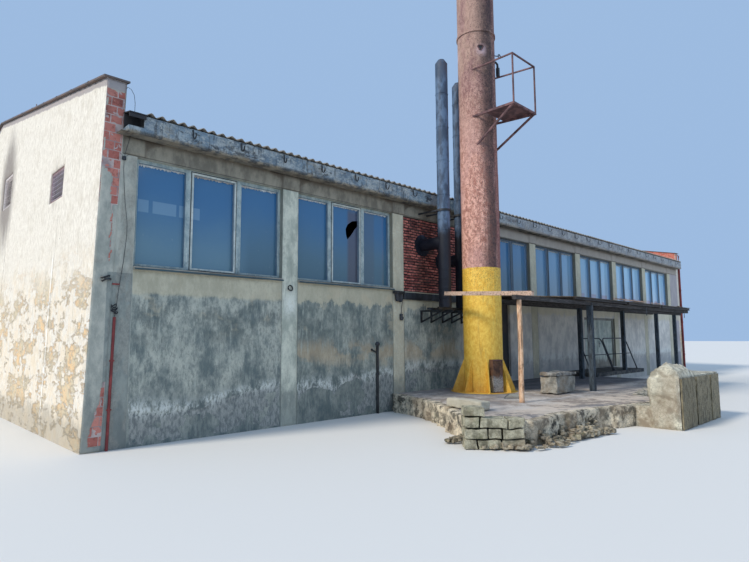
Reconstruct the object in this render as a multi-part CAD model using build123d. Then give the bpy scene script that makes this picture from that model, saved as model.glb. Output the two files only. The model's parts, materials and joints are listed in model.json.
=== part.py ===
from build123d import *
import os

os.makedirs("parts", exist_ok=True)

# Single-storey warehouse with parapet gables, a boiler stack and a loading side.
# Millimetres. X runs along the front, Y goes into the building, Z is up.
# Origin: front wall face, first column axis, lowest ground level.

# Bays and overall plan
BAY = 3600.0
BAYS = 8
DEPTH = 19200.0
RIDGE_Y = DEPTH / 2
WALL = 350.0
COLUMN_HALF = 218.0
FIRST_JAMB = 100.0
FAR_OUTER_X = 30500.0
FAR_INNER_X = FAR_OUTER_X - 335.0

# Heights above the lowest ground
FLOOR_Z = 600.0
SILL_Z = 3200.0
HEAD_Z = 5326.0
SOFFIT_Z = 5680.0

# Near gable: leans inwards as it rises, runs past the roof as a parapet
GABLE_THICK = 335.0
GABLE_FOOT_X = -665.0
GABLE_LEAN = 0.0262
PARAPET_EAVE_Z = 6690.0
COPING_HEIGHT = 35.0
COPING_OVERHANG = 60.0
COPING_OUTSIDE = 75.0
COPING_INSIDE = 50.0
FAR_PARAPET_LOWER = 94.0
ROOF_SLOPE = 0.196
GABLE_CUT_Z = 9000.0
GABLE_SPAN_X = (-1200.0, 400.0)
INTO_GABLE_X = -500.0
ROOF_START_X = -310.0

# Eaves and roof sheet
CORNICE_OUT = 270.0
CORNICE_FACE = 360.0
SHEET_OUT = 330.0
SHEET_THICK = 56.0
EAVE_Z = SOFFIT_Z + CORNICE_FACE - ROOF_SLOPE * (SHEET_OUT - CORNICE_OUT)
BROKEN_END_X = 95.0
BROKEN_LEDGE = 130.0
BROKEN_PAST = 10.0
RIDGE_CAP_HALF = 320.0
RIDGE_CAP_THICK = 22.0
BEAM_WIDTH = 260.0
BEAM_DEPTH = 620.0

# Windows
FRAME_FRONT = 110.0
FRAME_DEPTH = 70.0
FRAME_EDGE = 62.0
MULLION = 150.0
GLASS = 6.0
SILL_OUT = 55.0
SILL_THICK = 60.0
PANES = 3

# Double door in bay six
DOOR_BAY = 5
DOOR_HEAD_Z = 2720.0
DOOR_STRIP = 150.0
DOOR_FRAME = 70.0
DOOR_SETBACK = 60.0
DOOR_THICK = 55.0
DOOR_GAP = 8.0
DOOR_FRAME_DEPTH = 120.0
DOOR_STOP = 20.0
HINGE_HEIGHTS = (900.0, 2300.0)
HINGE_OUT = 22.0
HINGE_R = 14.0
HINGE_TALL = 50.0
HINGE_PLATE = 64.0
HINGE_LEAF = 8.0
HINGE_REST = 0.3
PIN_R = 7.0
PIN_PLAY = 0.08

# Dark sheeted doorway in bay four
SHEETED_X0 = 11750.0
SHEETED_X1 = 12750.0
SHEETED_HEAD_Z = 3080.0
SHEETED_BACK = 90.0
SHEETED_THICK = 40.0

# Brick infill of bay three with two flue ducts
INFILL_BACK = 40.0
DUCT_R = 172.0
FLUE_R = 175.0
FLUE_A_X = 8250.0
FLUE_A_Y = -780.0
FLUE_A_TOP = 9760.0
FLUE_B_X = 9170.0
FLUE_B_Y = -665.0
FLUE_B_TOP = 9400.0
FLUE_FOOT_Z = 2750.0
DUCT_A_Z = 4570.0
DUCT_B_Z = 4160.0
FLANGE_R = 312.0
FLANGE_THICK = 25.0
FLUE_CONE = 120.0
CLAMP_Z = 5460.0
CLAMP_OUT = 24.0
CLAMP_HALF = 30.0
CLAMP_ARM = 20.0
BRACKET_X = (8110.0, 8540.0, 9060.0, 9500.0, 9970.0)
BRACKET_REACH = 835.0
BRACKET_DROP = 350.0
BRACKET_BAR = 50.0
SHELF_X0 = 7900.0
SHELF_X1 = 10100.0
SHELF_INNER_Y = -470.0
SHELF_THICK = 60.0

# Stack
STACK_X = 9100.0
STACK_Y = -1400.0
STACK_R = 530.0
STACK_WALL = 70.0
STACK_TOP = 15000.0
STACK_SEAM_Z = 10560.0
PLATE_R = 900.0
PLATE_THICK = 25.0
FIN_COUNT = 8
FIN_OUT = 850.0
FIN_HEIGHT = 880.0
FIN_THICK = 16.0
SOOT_ANGLE = 247.5
SOOT_WIDTH = 300.0
SOOT_DEPTH = 690.0
SOOT_HEIGHT = 860.0
SEAM_OUT = 28.0
SEAM_TALL = 60.0

# Test platform on the stack
TEST_Z = 8100.0
TEST_X0 = 8600.0
TEST_X1 = 9750.0
TEST_Y0 = -2900.0
TEST_RAIL = 1350.0
TEST_DECK = 60.0
TEST_THICK = 10.0
TEST_PLATE = 950.0
TEST_STRUT_DROP = 930.0
RAIL_BAR = 36.0

# Small pipes on the front wall
STUB_X = 6350.0
STUB_OUT = 36.3
STUB_TOP = 1740.0
STUB_R = 36.0
DOWNPIPE_R = 55.0
DOWNPIPE_X = FAR_OUTER_X - 10.0
DOWNPIPE_REST = 0.3
DOWNPIPE_TOP = 6160.0
GUARD_R = 25.0
GUARD_TOP = 2320.0
GUARD_X = (-240.0, -200.0)

# Loading platform and the things on it
PLATFORM_Z = 450.0
PLATFORM_EDGE = (
    (7000.0, 0.0),
    (6300.0, -2000.0),
    (4700.0, -4300.0),
    (5300.0, -5000.0),
    (6600.0, -4900.0),
    (8000.0, -5150.0),
    (9350.0, -5500.0),
    (10600.0, -5500.0),
    (10900.0, -4700.0),
    (12900.0, -4250.0),
    (16600.0, -3300.0),
    (16600.0, 0.0),
)

# Canopy
CANOPY_FRONT_Y = -3700.0
CANOPY_FRONT_Z = 2960.0
CANOPY_SLOPE = 0.065
CANOPY_WALL_Y = -60.0
CANOPY_X0 = 9980.0
CANOPY_STEP_X = 19400.0
CANOPY_STEP_Y = -1550.0
GROUND_POSTS_X = (22600.0, 25000.0)
CANOPY_X1 = GROUND_POSTS_X[1] + 900.0
CANOPY_BEAM_X0 = 7250.0
BACK_BEAM_X0 = 10050.0
LEDGER_X0 = 10700.0
DEEP_RAFTERS_X = (10760.0, 13600.0, 16400.0, 19300.0)
SHORT_RAFTERS_X = (21900.0, 23900.0, CANOPY_X1 - 100.0)
TIMBER_POST_X = 7460.0
TIMBER_POST_R = 68.0
FRONT_POST_X = 11100.0
BACK_POST_X = 15100.0
LANDING_POST_X = 18850.0
BOARD = 32.0
RAFTER = 80.0
RAFTER_WIDTH = 70.0
BEAM = 100.0
POST = 138.0
FRONT_ROW_Y = -3550.0
BACK_ROW_Y = -1360.0
LEDGER_WIDE = 120.0
LOOSE_START = (7530.0, -3870.0)
LOOSE_END = (7990.0, -1000.0)
LOOSE_WIDE = 90.0
LOOSE_TALL = 100.0

# Landing
LANDING_X0 = 16100.0
LANDING_X1 = 20600.0
LANDING_OUT = 1450.0
LANDING_DECK = 150.0
RAIL_HEIGHT = 1250.0
RAIL_LEAN = 450.0
RAIL_R = 24.0
RAIL_BEND = 150.0
RAIL_SPANS = ((16200.0, 18130.0), (18230.0, 20520.0))
RAIL_FOOT_Y = -1200.0
LANDING_BLOCK_X0 = 17800.0
LANDING_BLOCK_BACK = 100.0

# Dock block at the far end of the platform
DOCK_X0 = 8850.0
DOCK_X1 = DOCK_X0 + 2750.0
DOCK_Y0 = -6400.0
DOCK_STEP_Y = -5800.0
DOCK_Y1 = -5500.0
DOCK_Z = 1075.0
PLANK_THICK = 60.0
PLANK_OFFSETS = (0.0, 980.0, 2050.0, 2740.0)
PLANK_GAP = 60.0
PLANK_LOWER = 10.0
PLANK_STEP = 8.0

# Rough blocks lying on the platform
PLINTH_X0 = 9350.0
PLINTH_X1 = 10500.0
PLINTH_Y0 = -3450.0
PLINTH_Y1 = -2850.0
PLINTH_TALL = 620.0
KERB_START = (5800.0, -2800.0)
KERB_END = (5650.0, -3850.0)
KERB_WIDE = 340.0
KERB_TALL = 240.0

# Stone pier of loose blocks at the near corner of the platform
PIER_X = 4685.0
PIER_Y = -4620.0
PIER_TURN = -47.0
PIER_LENGTH = 1080.0
PIER_DEPTH = 460.0
PIER_COURSES = 4
PIER_TOP = 730.0
PIER_JOINT = 4.0
PIER_SET_BACK = 12.0


def block(x0, x1, y0, y1, z0, z1):
    centre = ((x0 + x1) / 2, (y0 + y1) / 2, (z0 + z1) / 2)
    return Pos(*centre) * Box(x1 - x0, y1 - y0, z1 - z0)


def rod(start, end, radius):
    a = Vector(*start)
    b = Vector(*end)
    plane = Plane(origin=a, z_dir=(b - a).normalized())
    return extrude(plane * Circle(radius), amount=(b - a).length)


def bar(start, end, width, height):
    a = Vector(*start)
    b = Vector(*end)
    along = (b - a).normalized()
    side = Vector(0, 0, 1).cross(along).normalized()
    plane = Plane(origin=a, x_dir=side, z_dir=along)
    return extrude(plane * Rectangle(width, height), amount=(b - a).length)


def prism_x(points, x0, x1):
    plane = Plane(origin=(x0, 0, 0), x_dir=(0, 1, 0), z_dir=(1, 0, 0))
    return extrude(plane * Polygon(*points, align=None), amount=x1 - x0)


def prism_z(points, z0, z1):
    return extrude(Plane.XY.offset(z0) * Polygon(*points, align=None), amount=z1 - z0)


def mirrored(shape):
    return mirror(shape, about=Plane.XZ.offset(-RIDGE_Y))


def roof_z(y):
    inward = min(y, DEPTH - y)
    return EAVE_Z + ROOF_SLOPE * (inward + SHEET_OUT)


def column_x(index):
    return index * BAY


def opening_x(bay):
    left = FIRST_JAMB if bay == 0 else column_x(bay) + COLUMN_HALF
    return left, column_x(bay + 1) - COLUMN_HALF


def gable_outer_x(z):
    return GABLE_FOOT_X + GABLE_LEAN * z


def gable_solid(outer_shift, inner_shift, z_low, z_high, y0, y1):
    plane = Plane(origin=(0, y0, 0), x_dir=(1, 0, 0), z_dir=(0, -1, 0))
    outline = (
        (gable_outer_x(z_low) - outer_shift, z_low),
        (gable_outer_x(z_low) + GABLE_THICK + inner_shift, z_low),
        (gable_outer_x(z_high) + GABLE_THICK + inner_shift, z_high),
        (gable_outer_x(z_high) - outer_shift, z_high),
    )
    return extrude(plane * Polygon(*outline, align=None), amount=y0 - y1)


def gable_outline(bottom, eave, y0, y1, x0, x1):
    ridge = eave + ROOF_SLOPE * RIDGE_Y
    fall = ROOF_SLOPE * -y0
    points = (
        (y0, bottom),
        (y1, bottom),
        (y1, eave - fall),
        (RIDGE_Y, ridge),
        (y0, eave - fall),
    )
    return prism_x(points, x0, x1)


def leaning_gable_block():
    top = PARAPET_EAVE_Z + ROOF_SLOPE * RIDGE_Y + 400.0
    return gable_solid(0.0, 0.0, 0.0, top, 0.0, DEPTH)


def fit_to_gable(shape):
    return shape - leaning_gable_block()


# Near gable wall with two louvre openings
LOUVRES = (
    (2300.0, 3350.0, 4900.0, 5600.0),
    (7450.0, 8550.0, 5625.0, 6575.0),
)
LOUVRE_RIM = 50.0
LOUVRE_DEEP = 90.0
LOUVRE_SETBACK = 25.0
LOUVRE_BLADES = 6
BLADE_TURN = -38.0
BLADE_THICK = 12.0


def near_gable_wall():
    cut = gable_outline(0.0, PARAPET_EAVE_Z, 0.0, DEPTH, *GABLE_SPAN_X)
    wall = leaning_gable_block() & cut
    for y0, y1, z0, z1 in LOUVRES:
        wall -= block(*GABLE_SPAN_X, y0, y1, z0, z1)
    return wall


def louvre(y0, y1, z0, z1):
    rim = LOUVRE_RIM
    inner = LOUVRE_SETBACK + LOUVRE_DEEP - GABLE_THICK
    layer = gable_solid(-LOUVRE_SETBACK, inner, 0.0, z1 + rim, y0, y1)
    frame = layer & block(*GABLE_SPAN_X, y0, y1, z0, z1)
    frame -= block(*GABLE_SPAN_X, y0 + rim, y1 - rim, z0 + rim, z1 - rim)
    pitch = (z1 - z0 - 2 * rim) / LOUVRE_BLADES
    slat = Box(LOUVRE_DEEP * 0.9, y1 - y0 - 2 * rim, BLADE_THICK)
    parts = [frame]
    for i in range(LOUVRE_BLADES):
        z = z0 + rim + pitch * (i + 0.5)
        x = gable_outer_x(z) + LOUVRE_SETBACK + LOUVRE_DEEP / 2
        parts.append(Pos(x, (y0 + y1) / 2, z) * Rot(0, BLADE_TURN, 0) * slat)
    return Part() + parts


def far_gable_wall():
    top = PARAPET_EAVE_Z - FAR_PARAPET_LOWER
    return gable_outline(0.0, top, 0.0, DEPTH, FAR_INNER_X, FAR_OUTER_X)


def coping(eave_z, x0, x1):
    over = COPING_OVERHANG
    upper = gable_outline(0.0, eave_z + COPING_HEIGHT, -over, DEPTH + over, x0, x1)
    lower = gable_outline(-10.0, eave_z, -over - 10, DEPTH + over + 10, x0 - 10, x1 + 10)
    return upper - lower


def front_columns():
    first = fit_to_gable(block(INTO_GABLE_X, FIRST_JAMB, 0.0, WALL, 0.0, HEAD_Z))
    parts = [first]
    for i in range(1, BAYS + 1):
        x = column_x(i)
        parts.append(block(x - COLUMN_HALF, x + COLUMN_HALF, 0.0, WALL, 0.0, HEAD_Z))
    return Part() + parts


def far_corner_panel():
    x0 = column_x(BAYS) + COLUMN_HALF
    return block(x0, FAR_INNER_X, 0.0, WALL, 0.0, HEAD_Z)


def wall_panel(bay):
    x0, x1 = opening_x(bay)
    return block(x0, x1, 0.0, WALL, 0.0, SILL_Z)


def front_panels():
    parts = [wall_panel(i) for i in range(BAYS) if i not in (3, DOOR_BAY)]
    return Part() + (parts + [sheeted_panel(), far_corner_panel()])


def sheeted_panel():
    return wall_panel(3) - block(
        SHEETED_X0, SHEETED_X1, -10.0, WALL + 10.0, FLOOR_Z, SHEETED_HEAD_Z)


def sheeted_doorway():
    y0 = SHEETED_BACK
    return block(SHEETED_X0, SHEETED_X1, y0, y0 + SHEETED_THICK, FLOOR_Z, SHEETED_HEAD_Z)


def back_panels():
    parts = [mirrored(wall_panel(i)) for i in range(BAYS)]
    return Part() + (parts + [mirrored(far_corner_panel())])


def door_opening():
    x0, x1 = opening_x(DOOR_BAY)
    return x0 + DOOR_STRIP, x1


def door_threshold():
    x0, x1 = opening_x(DOOR_BAY)
    return block(x0, x1, 0.0, WALL, 0.0, FLOOR_Z)


def door_lintel():
    x0, x1 = opening_x(DOOR_BAY)
    return block(x0, x1, 0.0, WALL, DOOR_HEAD_Z, SILL_Z)


def door_side_pier():
    x0, x1 = opening_x(DOOR_BAY)
    return block(x0, x0 + DOOR_STRIP, 0.0, WALL, FLOOR_Z, DOOR_HEAD_Z)


def door_frame():
    x0, x1 = door_opening()
    y0 = DOOR_SETBACK
    outer = block(x0, x1, y0, y0 + DOOR_FRAME_DEPTH, FLOOR_Z, DOOR_HEAD_Z)
    stop = DOOR_FRAME + DOOR_GAP + DOOR_STOP
    seat_y = y0 + DOOR_FRAME_DEPTH - DOOR_THICK - DOOR_GAP
    way = block(x0 + stop, x1 - stop, y0 - 10, seat_y + 10, FLOOR_Z - 10, DOOR_HEAD_Z - stop)
    seat = block(
        x0 + DOOR_FRAME, x1 - DOOR_FRAME, seat_y, y0 + DOOR_FRAME_DEPTH + 10,
        FLOOR_Z - 10, DOOR_HEAD_Z - DOOR_FRAME)
    frame = outer - way - seat
    for side in (-1, 1):
        for z in HINGE_HEIGHTS:
            frame += hinge_pin(side, z)
    return frame


def hinge_axis(side):
    x0, x1 = door_opening()
    inset = DOOR_FRAME + DOOR_GAP / 2
    x = x0 + inset if side < 0 else x1 - inset
    return x, DOOR_SETBACK + DOOR_FRAME_DEPTH + HINGE_OUT


def hinge_pin(side, z):
    x, y = hinge_axis(side)
    face = DOOR_SETBACK + DOOR_FRAME_DEPTH
    lo, hi = sorted((x + side * HINGE_PLATE, x))
    plate = block(lo, hi, face, face + HINGE_LEAF, z, z + HINGE_TALL)
    lo, hi = sorted((x + side * HINGE_R, x))
    web = block(lo, hi, face, y, z, z + HINGE_TALL)
    knuckle = rod((x, y, z), (x, y, z + HINGE_TALL), HINGE_R)
    return plate + web + knuckle + rod((x, y, z), (x, y, z + 2 * HINGE_TALL), PIN_R)


def hinge_knuckle(side, z):
    x, y = hinge_axis(side)
    face = DOOR_SETBACK + DOOR_FRAME_DEPTH
    low = z + HINGE_TALL + HINGE_REST
    high = z + 2 * HINGE_TALL
    near = x - side * DOOR_GAP / 2
    lo, hi = sorted((near, x - side * HINGE_PLATE))
    plate = block(lo, hi, face, face + HINGE_LEAF, low, high)
    lo, hi = sorted((near, x - side * HINGE_R))
    web = block(lo, hi, face, y, low, high)
    knuckle = rod((x, y, low), (x, y, high), HINGE_R)
    return plate + web + knuckle - rod((x, y, low - 10), (x, y, high + 10), PIN_R + PIN_PLAY)


def door_leaf(side):
    x0, x1 = door_opening()
    left = x0 + DOOR_FRAME + DOOR_GAP
    right = x1 - DOOR_FRAME - DOOR_GAP
    middle = (left + right) / 2
    lo, hi = (left, middle - DOOR_GAP / 2) if side < 0 else (middle + DOOR_GAP / 2, right)
    y0 = DOOR_SETBACK + DOOR_FRAME_DEPTH - DOOR_THICK
    leaf = block(
        lo, hi, y0, y0 + DOOR_THICK, FLOOR_Z + DOOR_GAP, DOOR_HEAD_Z - DOOR_FRAME - DOOR_GAP)
    for z in HINGE_HEIGHTS:
        leaf += hinge_knuckle(side, z)
    return leaf


def brick_infill():
    x0, x1 = opening_x(2)
    wall = block(x0, x1, INFILL_BACK, WALL, SILL_Z, HEAD_Z)
    for x, z in ((FLUE_A_X, DUCT_A_Z), (FLUE_B_X, DUCT_B_Z)):
        wall -= rod((x, -100.0, z), (x, WALL + 100.0, z), DUCT_R)
    return wall


def ring_beam():
    return fit_to_gable(block(INTO_GABLE_X, FAR_INNER_X, 0.0, WALL, HEAD_Z, SOFFIT_Z))


def cornice_section(x0, x1):
    points = (
        (-CORNICE_OUT, SOFFIT_Z),
        (WALL, SOFFIT_Z),
        (WALL, roof_z(WALL)),
        (-CORNICE_OUT, roof_z(-CORNICE_OUT)),
    )
    return prism_x(points, x0, x1)


def cornice_plain():
    body = cornice_section(ROOF_START_X, FAR_INNER_X)
    gable = gable_solid(0.0, 0.0, 0.0, GABLE_CUT_Z, -CORNICE_OUT - 60.0, DEPTH)
    return body - gable


def front_cornice():
    ledge = SOFFIT_Z + BROKEN_LEDGE
    front = -CORNICE_OUT - BROKEN_PAST
    hollow = block(INTO_GABLE_X, BROKEN_END_X, front, WALL + BROKEN_PAST, ledge, GABLE_CUT_Z)
    return cornice_plain() - hollow


def roof_plate():
    bottom = (
        (-SHEET_OUT, EAVE_Z),
        (RIDGE_Y, roof_z(RIDGE_Y)),
        (RIDGE_Y, roof_z(RIDGE_Y) + SHEET_THICK),
        (-SHEET_OUT, EAVE_Z + SHEET_THICK),
    )
    sheet = prism_x(bottom, ROOF_START_X, FAR_INNER_X)
    gable = gable_solid(0.0, 0.0, 0.0, GABLE_CUT_Z, -SHEET_OUT - 60.0, DEPTH)
    return sheet - gable


def ridge_cap():
    top = roof_z(RIDGE_Y) + SHEET_THICK
    fall = ROOF_SLOPE * RIDGE_CAP_HALF
    points = (
        (RIDGE_Y - RIDGE_CAP_HALF, top - fall),
        (RIDGE_Y, top),
        (RIDGE_Y + RIDGE_CAP_HALF, top - fall),
        (RIDGE_Y + RIDGE_CAP_HALF, top - fall + RIDGE_CAP_THICK),
        (RIDGE_Y, top + RIDGE_CAP_THICK),
        (RIDGE_Y - RIDGE_CAP_HALF, top - fall + RIDGE_CAP_THICK),
    )
    return fit_to_gable(prism_x(points, ROOF_START_X, FAR_INNER_X))


def roof_beams():
    outline = (
        (WALL, roof_z(WALL) - BEAM_DEPTH),
        (DEPTH - WALL, roof_z(WALL) - BEAM_DEPTH),
        (DEPTH - WALL, roof_z(WALL)),
        (RIDGE_Y, roof_z(RIDGE_Y)),
        (WALL, roof_z(WALL)),
    )
    parts = []
    for i in range(1, BAYS + 1):
        x = column_x(i)
        beam = prism_x(outline, x - BEAM_WIDTH / 2, x + BEAM_WIDTH / 2)
        parts.append(beam)
    return Part() + parts


def floor_slab():
    slab = block(INTO_GABLE_X, FAR_INNER_X, WALL, DEPTH - WALL, 0.0, FLOOR_Z)
    return fit_to_gable(slab)


def window_frame(bay):
    x0, x1 = opening_x(bay)
    y0 = FRAME_FRONT
    z0 = SILL_Z + SILL_THICK
    frame = block(x0, x1, y0, y0 + FRAME_DEPTH, z0, HEAD_Z)
    clear = (x1 - x0 - 2 * FRAME_EDGE - (PANES - 1) * MULLION) / PANES
    for i in range(PANES):
        left = x0 + FRAME_EDGE + i * (clear + MULLION)
        frame -= block(
            left, left + clear, y0 - 10, y0 + FRAME_DEPTH + 10,
            z0 + FRAME_EDGE, HEAD_Z - FRAME_EDGE)
    return frame


def window_glass(bay):
    x0, x1 = opening_x(bay)
    y0 = FRAME_FRONT + FRAME_DEPTH
    return block(x0, x1, y0, y0 + GLASS, SILL_Z + SILL_THICK, HEAD_Z)


def window_sill(bay):
    x0, x1 = opening_x(bay)
    return block(x0, x1, -SILL_OUT, WALL, SILL_Z, SILL_Z + SILL_THICK)


def window_bays():
    return [i for i in range(BAYS) if i != 2]


# Broken outline in the middle pane of bay one, from the pane's middle and the ground
BROKEN_PANE = (
    (38.0, 4702.0),
    (106.0, 4829.0),
    (262.0, 4935.0),
    (435.0, 4965.0),
    (445.0, 4837.0),
    (331.0, 4702.0),
    (210.0, 4542.0),
    (100.0, 4437.0),
    (55.0, 4548.0),
)


def broken_glass():
    x0, x1 = opening_x(1)
    centre = (x0 + x1) / 2
    points = [(centre + across, z) for across, z in BROKEN_PANE]
    plane = Plane(origin=(0, 0, 0), x_dir=(1, 0, 0), z_dir=(0, -1, 0))
    hole = extrude(plane * Polygon(*points, align=None), amount=600.0, both=True)
    return window_glass(1) - hole


def stack_shell():
    base = PLATFORM_Z + PLATE_THICK
    body = rod((STACK_X, STACK_Y, base), (STACK_X, STACK_Y, STACK_TOP), STACK_R)
    seam_top = STACK_SEAM_Z + SEAM_TALL
    seam = rod((STACK_X, STACK_Y, STACK_SEAM_Z), (STACK_X, STACK_Y, seam_top), STACK_R + SEAM_OUT)
    bore = rod(
        (STACK_X, STACK_Y, base - 10), (STACK_X, STACK_Y, STACK_TOP + 10),
        STACK_R - STACK_WALL)
    return body + seam - bore


def stack_base_plate():
    return rod(
        (STACK_X, STACK_Y, PLATFORM_Z), (STACK_X, STACK_Y, PLATFORM_Z + PLATE_THICK), PLATE_R)


def stack_fins():
    low = PLATFORM_Z + PLATE_THICK
    points = (
        (STACK_R - 60.0, low),
        (FIN_OUT, low),
        (FIN_OUT, low + 60.0),
        (STACK_R, low + FIN_HEIGHT),
        (STACK_R - 60.0, low + FIN_HEIGHT),
    )
    plane = Plane(origin=(0, FIN_THICK / 2, 0), x_dir=(1, 0, 0), z_dir=(0, -1, 0))
    fin = extrude(plane * Polygon(*points, align=None), amount=FIN_THICK)
    shell = rod((0, 0, 0), (0, 0, STACK_TOP), STACK_R)
    parts = []
    for i in range(FIN_COUNT):
        turned = Rot(0, 0, i * 360.0 / FIN_COUNT) * fin - shell
        parts.append(Pos(STACK_X, STACK_Y, 0) * turned)
    return Part() + parts


def soot_door():
    low = PLATFORM_Z + PLATE_THICK
    box = block(STACK_R - 80.0, SOOT_DEPTH, -SOOT_WIDTH / 2, SOOT_WIDTH / 2, low, low + SOOT_HEIGHT)
    shell = rod((0, 0, 0), (0, 0, STACK_TOP), STACK_R)
    return Pos(STACK_X, STACK_Y, 0) * Rot(0, 0, SOOT_ANGLE) * (box - shell)


def stack_cut():
    return rod((STACK_X, STACK_Y, 0), (STACK_X, STACK_Y, STACK_TOP), STACK_R)


def stand_bars(z, thick):
    half = thick / 2
    x0 = TEST_X0 + half
    x1 = TEST_X1 - half
    y0 = TEST_Y0 + half
    bars = block(TEST_X0, TEST_X1, TEST_Y0, TEST_Y0 + thick, z - half, z + half)
    bars += bar((x0, y0, z), (x0, STACK_Y - 150.0, z), thick, thick)
    bars += bar((x1, y0, z), (STACK_X + 400.0, STACK_Y - 100.0, z), thick, thick)
    return bars


def test_platform():
    plate_y = TEST_Y0 + TEST_PLATE
    deck = block(TEST_X0, TEST_X1 - 60.0, TEST_Y0, plate_y, TEST_Z - TEST_THICK, TEST_Z)
    deck += stand_bars(TEST_Z - TEST_DECK / 2 - TEST_THICK / 2, TEST_DECK - TEST_THICK)
    foot_z = TEST_Z - TEST_STRUT_DROP
    for x, reach in ((TEST_X0 + 40.0, -430.0), (TEST_X1 - 40.0, 430.0)):
        start = (x, TEST_Y0 + 60.0, TEST_Z - 45.0)
        deck += bar(start, (STACK_X + reach, STACK_Y - 150.0, foot_z), 50.0, 50.0)
    return deck - stack_cut()


def test_rail():
    top = TEST_Z + TEST_RAIL
    rail = stand_bars(top - RAIL_BAR / 2, RAIL_BAR)
    y0 = TEST_Y0
    for x0 in (TEST_X0, TEST_X1 - RAIL_BAR):
        rail += block(x0, x0 + RAIL_BAR, y0, y0 + RAIL_BAR, TEST_Z, top - RAIL_BAR / 2)
    return rail - stack_cut()


def flue(x, y, top):
    pipe = rod((x, y, FLUE_FOOT_Z), (x, y, top), FLUE_R)
    return pipe + Pos(x, y, top + FLUE_CONE / 2) * Cone(FLUE_R, FLUE_R * 0.55, FLUE_CONE)


def duct(x, y, z):
    run = rod((x, y, z), (x, WALL, z), DUCT_R)
    return run - rod((x, y, 0), (x, y, STACK_TOP), FLUE_R)


def wall_flange(x, z):
    return rod((x, INFILL_BACK - FLANGE_THICK, z), (x, INFILL_BACK, z), FLANGE_R)


def flue_clamps():
    parts = []
    low = CLAMP_Z - CLAMP_HALF
    high = CLAMP_Z + CLAMP_HALF
    arm = CLAMP_ARM
    for x, y in ((FLUE_A_X, FLUE_A_Y), (FLUE_B_X, FLUE_B_Y)):
        ring = rod((x, y, low), (x, y, high), FLUE_R + CLAMP_OUT)
        for side in (-1, 1):
            at = x + side * (FLUE_R + 4.0)
            ring += block(at - arm, at + arm, y, 0.0, CLAMP_Z - arm, CLAMP_Z + arm)
        parts.append(ring - rod((x, y, low - 50), (x, y, high + 50), FLUE_R))
    return Part() + parts


def wall_brackets():
    half = BRACKET_BAR / 2
    under = FLUE_FOOT_Z - SHELF_THICK
    foot = under - BRACKET_DROP
    shelf = None
    for x in BRACKET_X:
        arm = block(x - half, x + half, -BRACKET_REACH, 0.0, under - BRACKET_BAR, under)
        leg = block(x - half, x + half, -BRACKET_BAR, 0.0, foot, under)
        brace = bar((x, -30.0, foot + 20), (x, 60.0 - BRACKET_REACH, under - 35), 40.0, 40.0)
        piece = arm + leg + (brace & block(x - 40, x + 40, -BRACKET_REACH, 0.0, 0.0, under))
        shelf = piece if shelf is None else shelf + piece
    for y in (-BRACKET_REACH, SHELF_INNER_Y):
        shelf += block(SHELF_X0, SHELF_X1, y, y + BRACKET_BAR, under, FLUE_FOOT_Z)
    return shelf


def sill_beam():
    x0, x1 = opening_x(2)
    return block(x0 - 60.0, x1 + 60.0, -70.0, 0.0, SILL_Z - 230.0, SILL_Z - 35.0)


def pipe_stub():
    return rod((STUB_X, -STUB_OUT, 0.0), (STUB_X, -STUB_OUT, STUB_TOP), STUB_R)


def loading_platform():
    body = prism_z(PLATFORM_EDGE, 0.0, PLATFORM_Z)
    return body - pier_box()


def pier_box():
    box = Box(PIER_LENGTH, PIER_DEPTH, 2000.0)
    return Pos(PIER_X, PIER_Y, 500.0) * Rot(0, 0, PIER_TURN) * box


def stone_pier():
    course = PIER_TOP / PIER_COURSES
    parts = []
    for i in range(PIER_COURSES):
        splits = (0.0, 0.4, 0.72, 1.0) if i % 2 else (0.0, 0.34, 0.68, 1.0)
        last = 1 if i == PIER_COURSES - 1 else 3
        for j in range(last):
            x0 = -PIER_LENGTH / 2 + splits[j] * PIER_LENGTH
            x1 = -PIER_LENGTH / 2 + splits[j + 1] * PIER_LENGTH
            set_back = PIER_SET_BACK * ((i + j) % 3)
            stone = block(
                x0 + PIER_JOINT, x1 - PIER_JOINT, -PIER_DEPTH / 2 + set_back, PIER_DEPTH / 2,
                i * course, (i + 1) * course)
            parts.append(Pos(PIER_X, PIER_Y, 0) * Rot(0, 0, PIER_TURN) * stone)
    return Part() + parts


def concrete_plinth():
    return block(
        PLINTH_X0, PLINTH_X1, PLINTH_Y0, PLINTH_Y1, PLATFORM_Z, PLATFORM_Z + PLINTH_TALL)


def kerb_lump():
    z = PLATFORM_Z + KERB_TALL / 2
    return bar((*KERB_START, z), (*KERB_END, z), KERB_WIDE, KERB_TALL)


def landing_block():
    front = -LANDING_OUT + LANDING_BLOCK_BACK
    return block(LANDING_BLOCK_X0, LANDING_X1, front, 0.0, 0.0, PLATFORM_Z)


def landing_deck():
    top = PLATFORM_Z + LANDING_DECK
    return block(LANDING_X0, LANDING_X1, -LANDING_OUT, 0.0, PLATFORM_Z, top)


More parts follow.
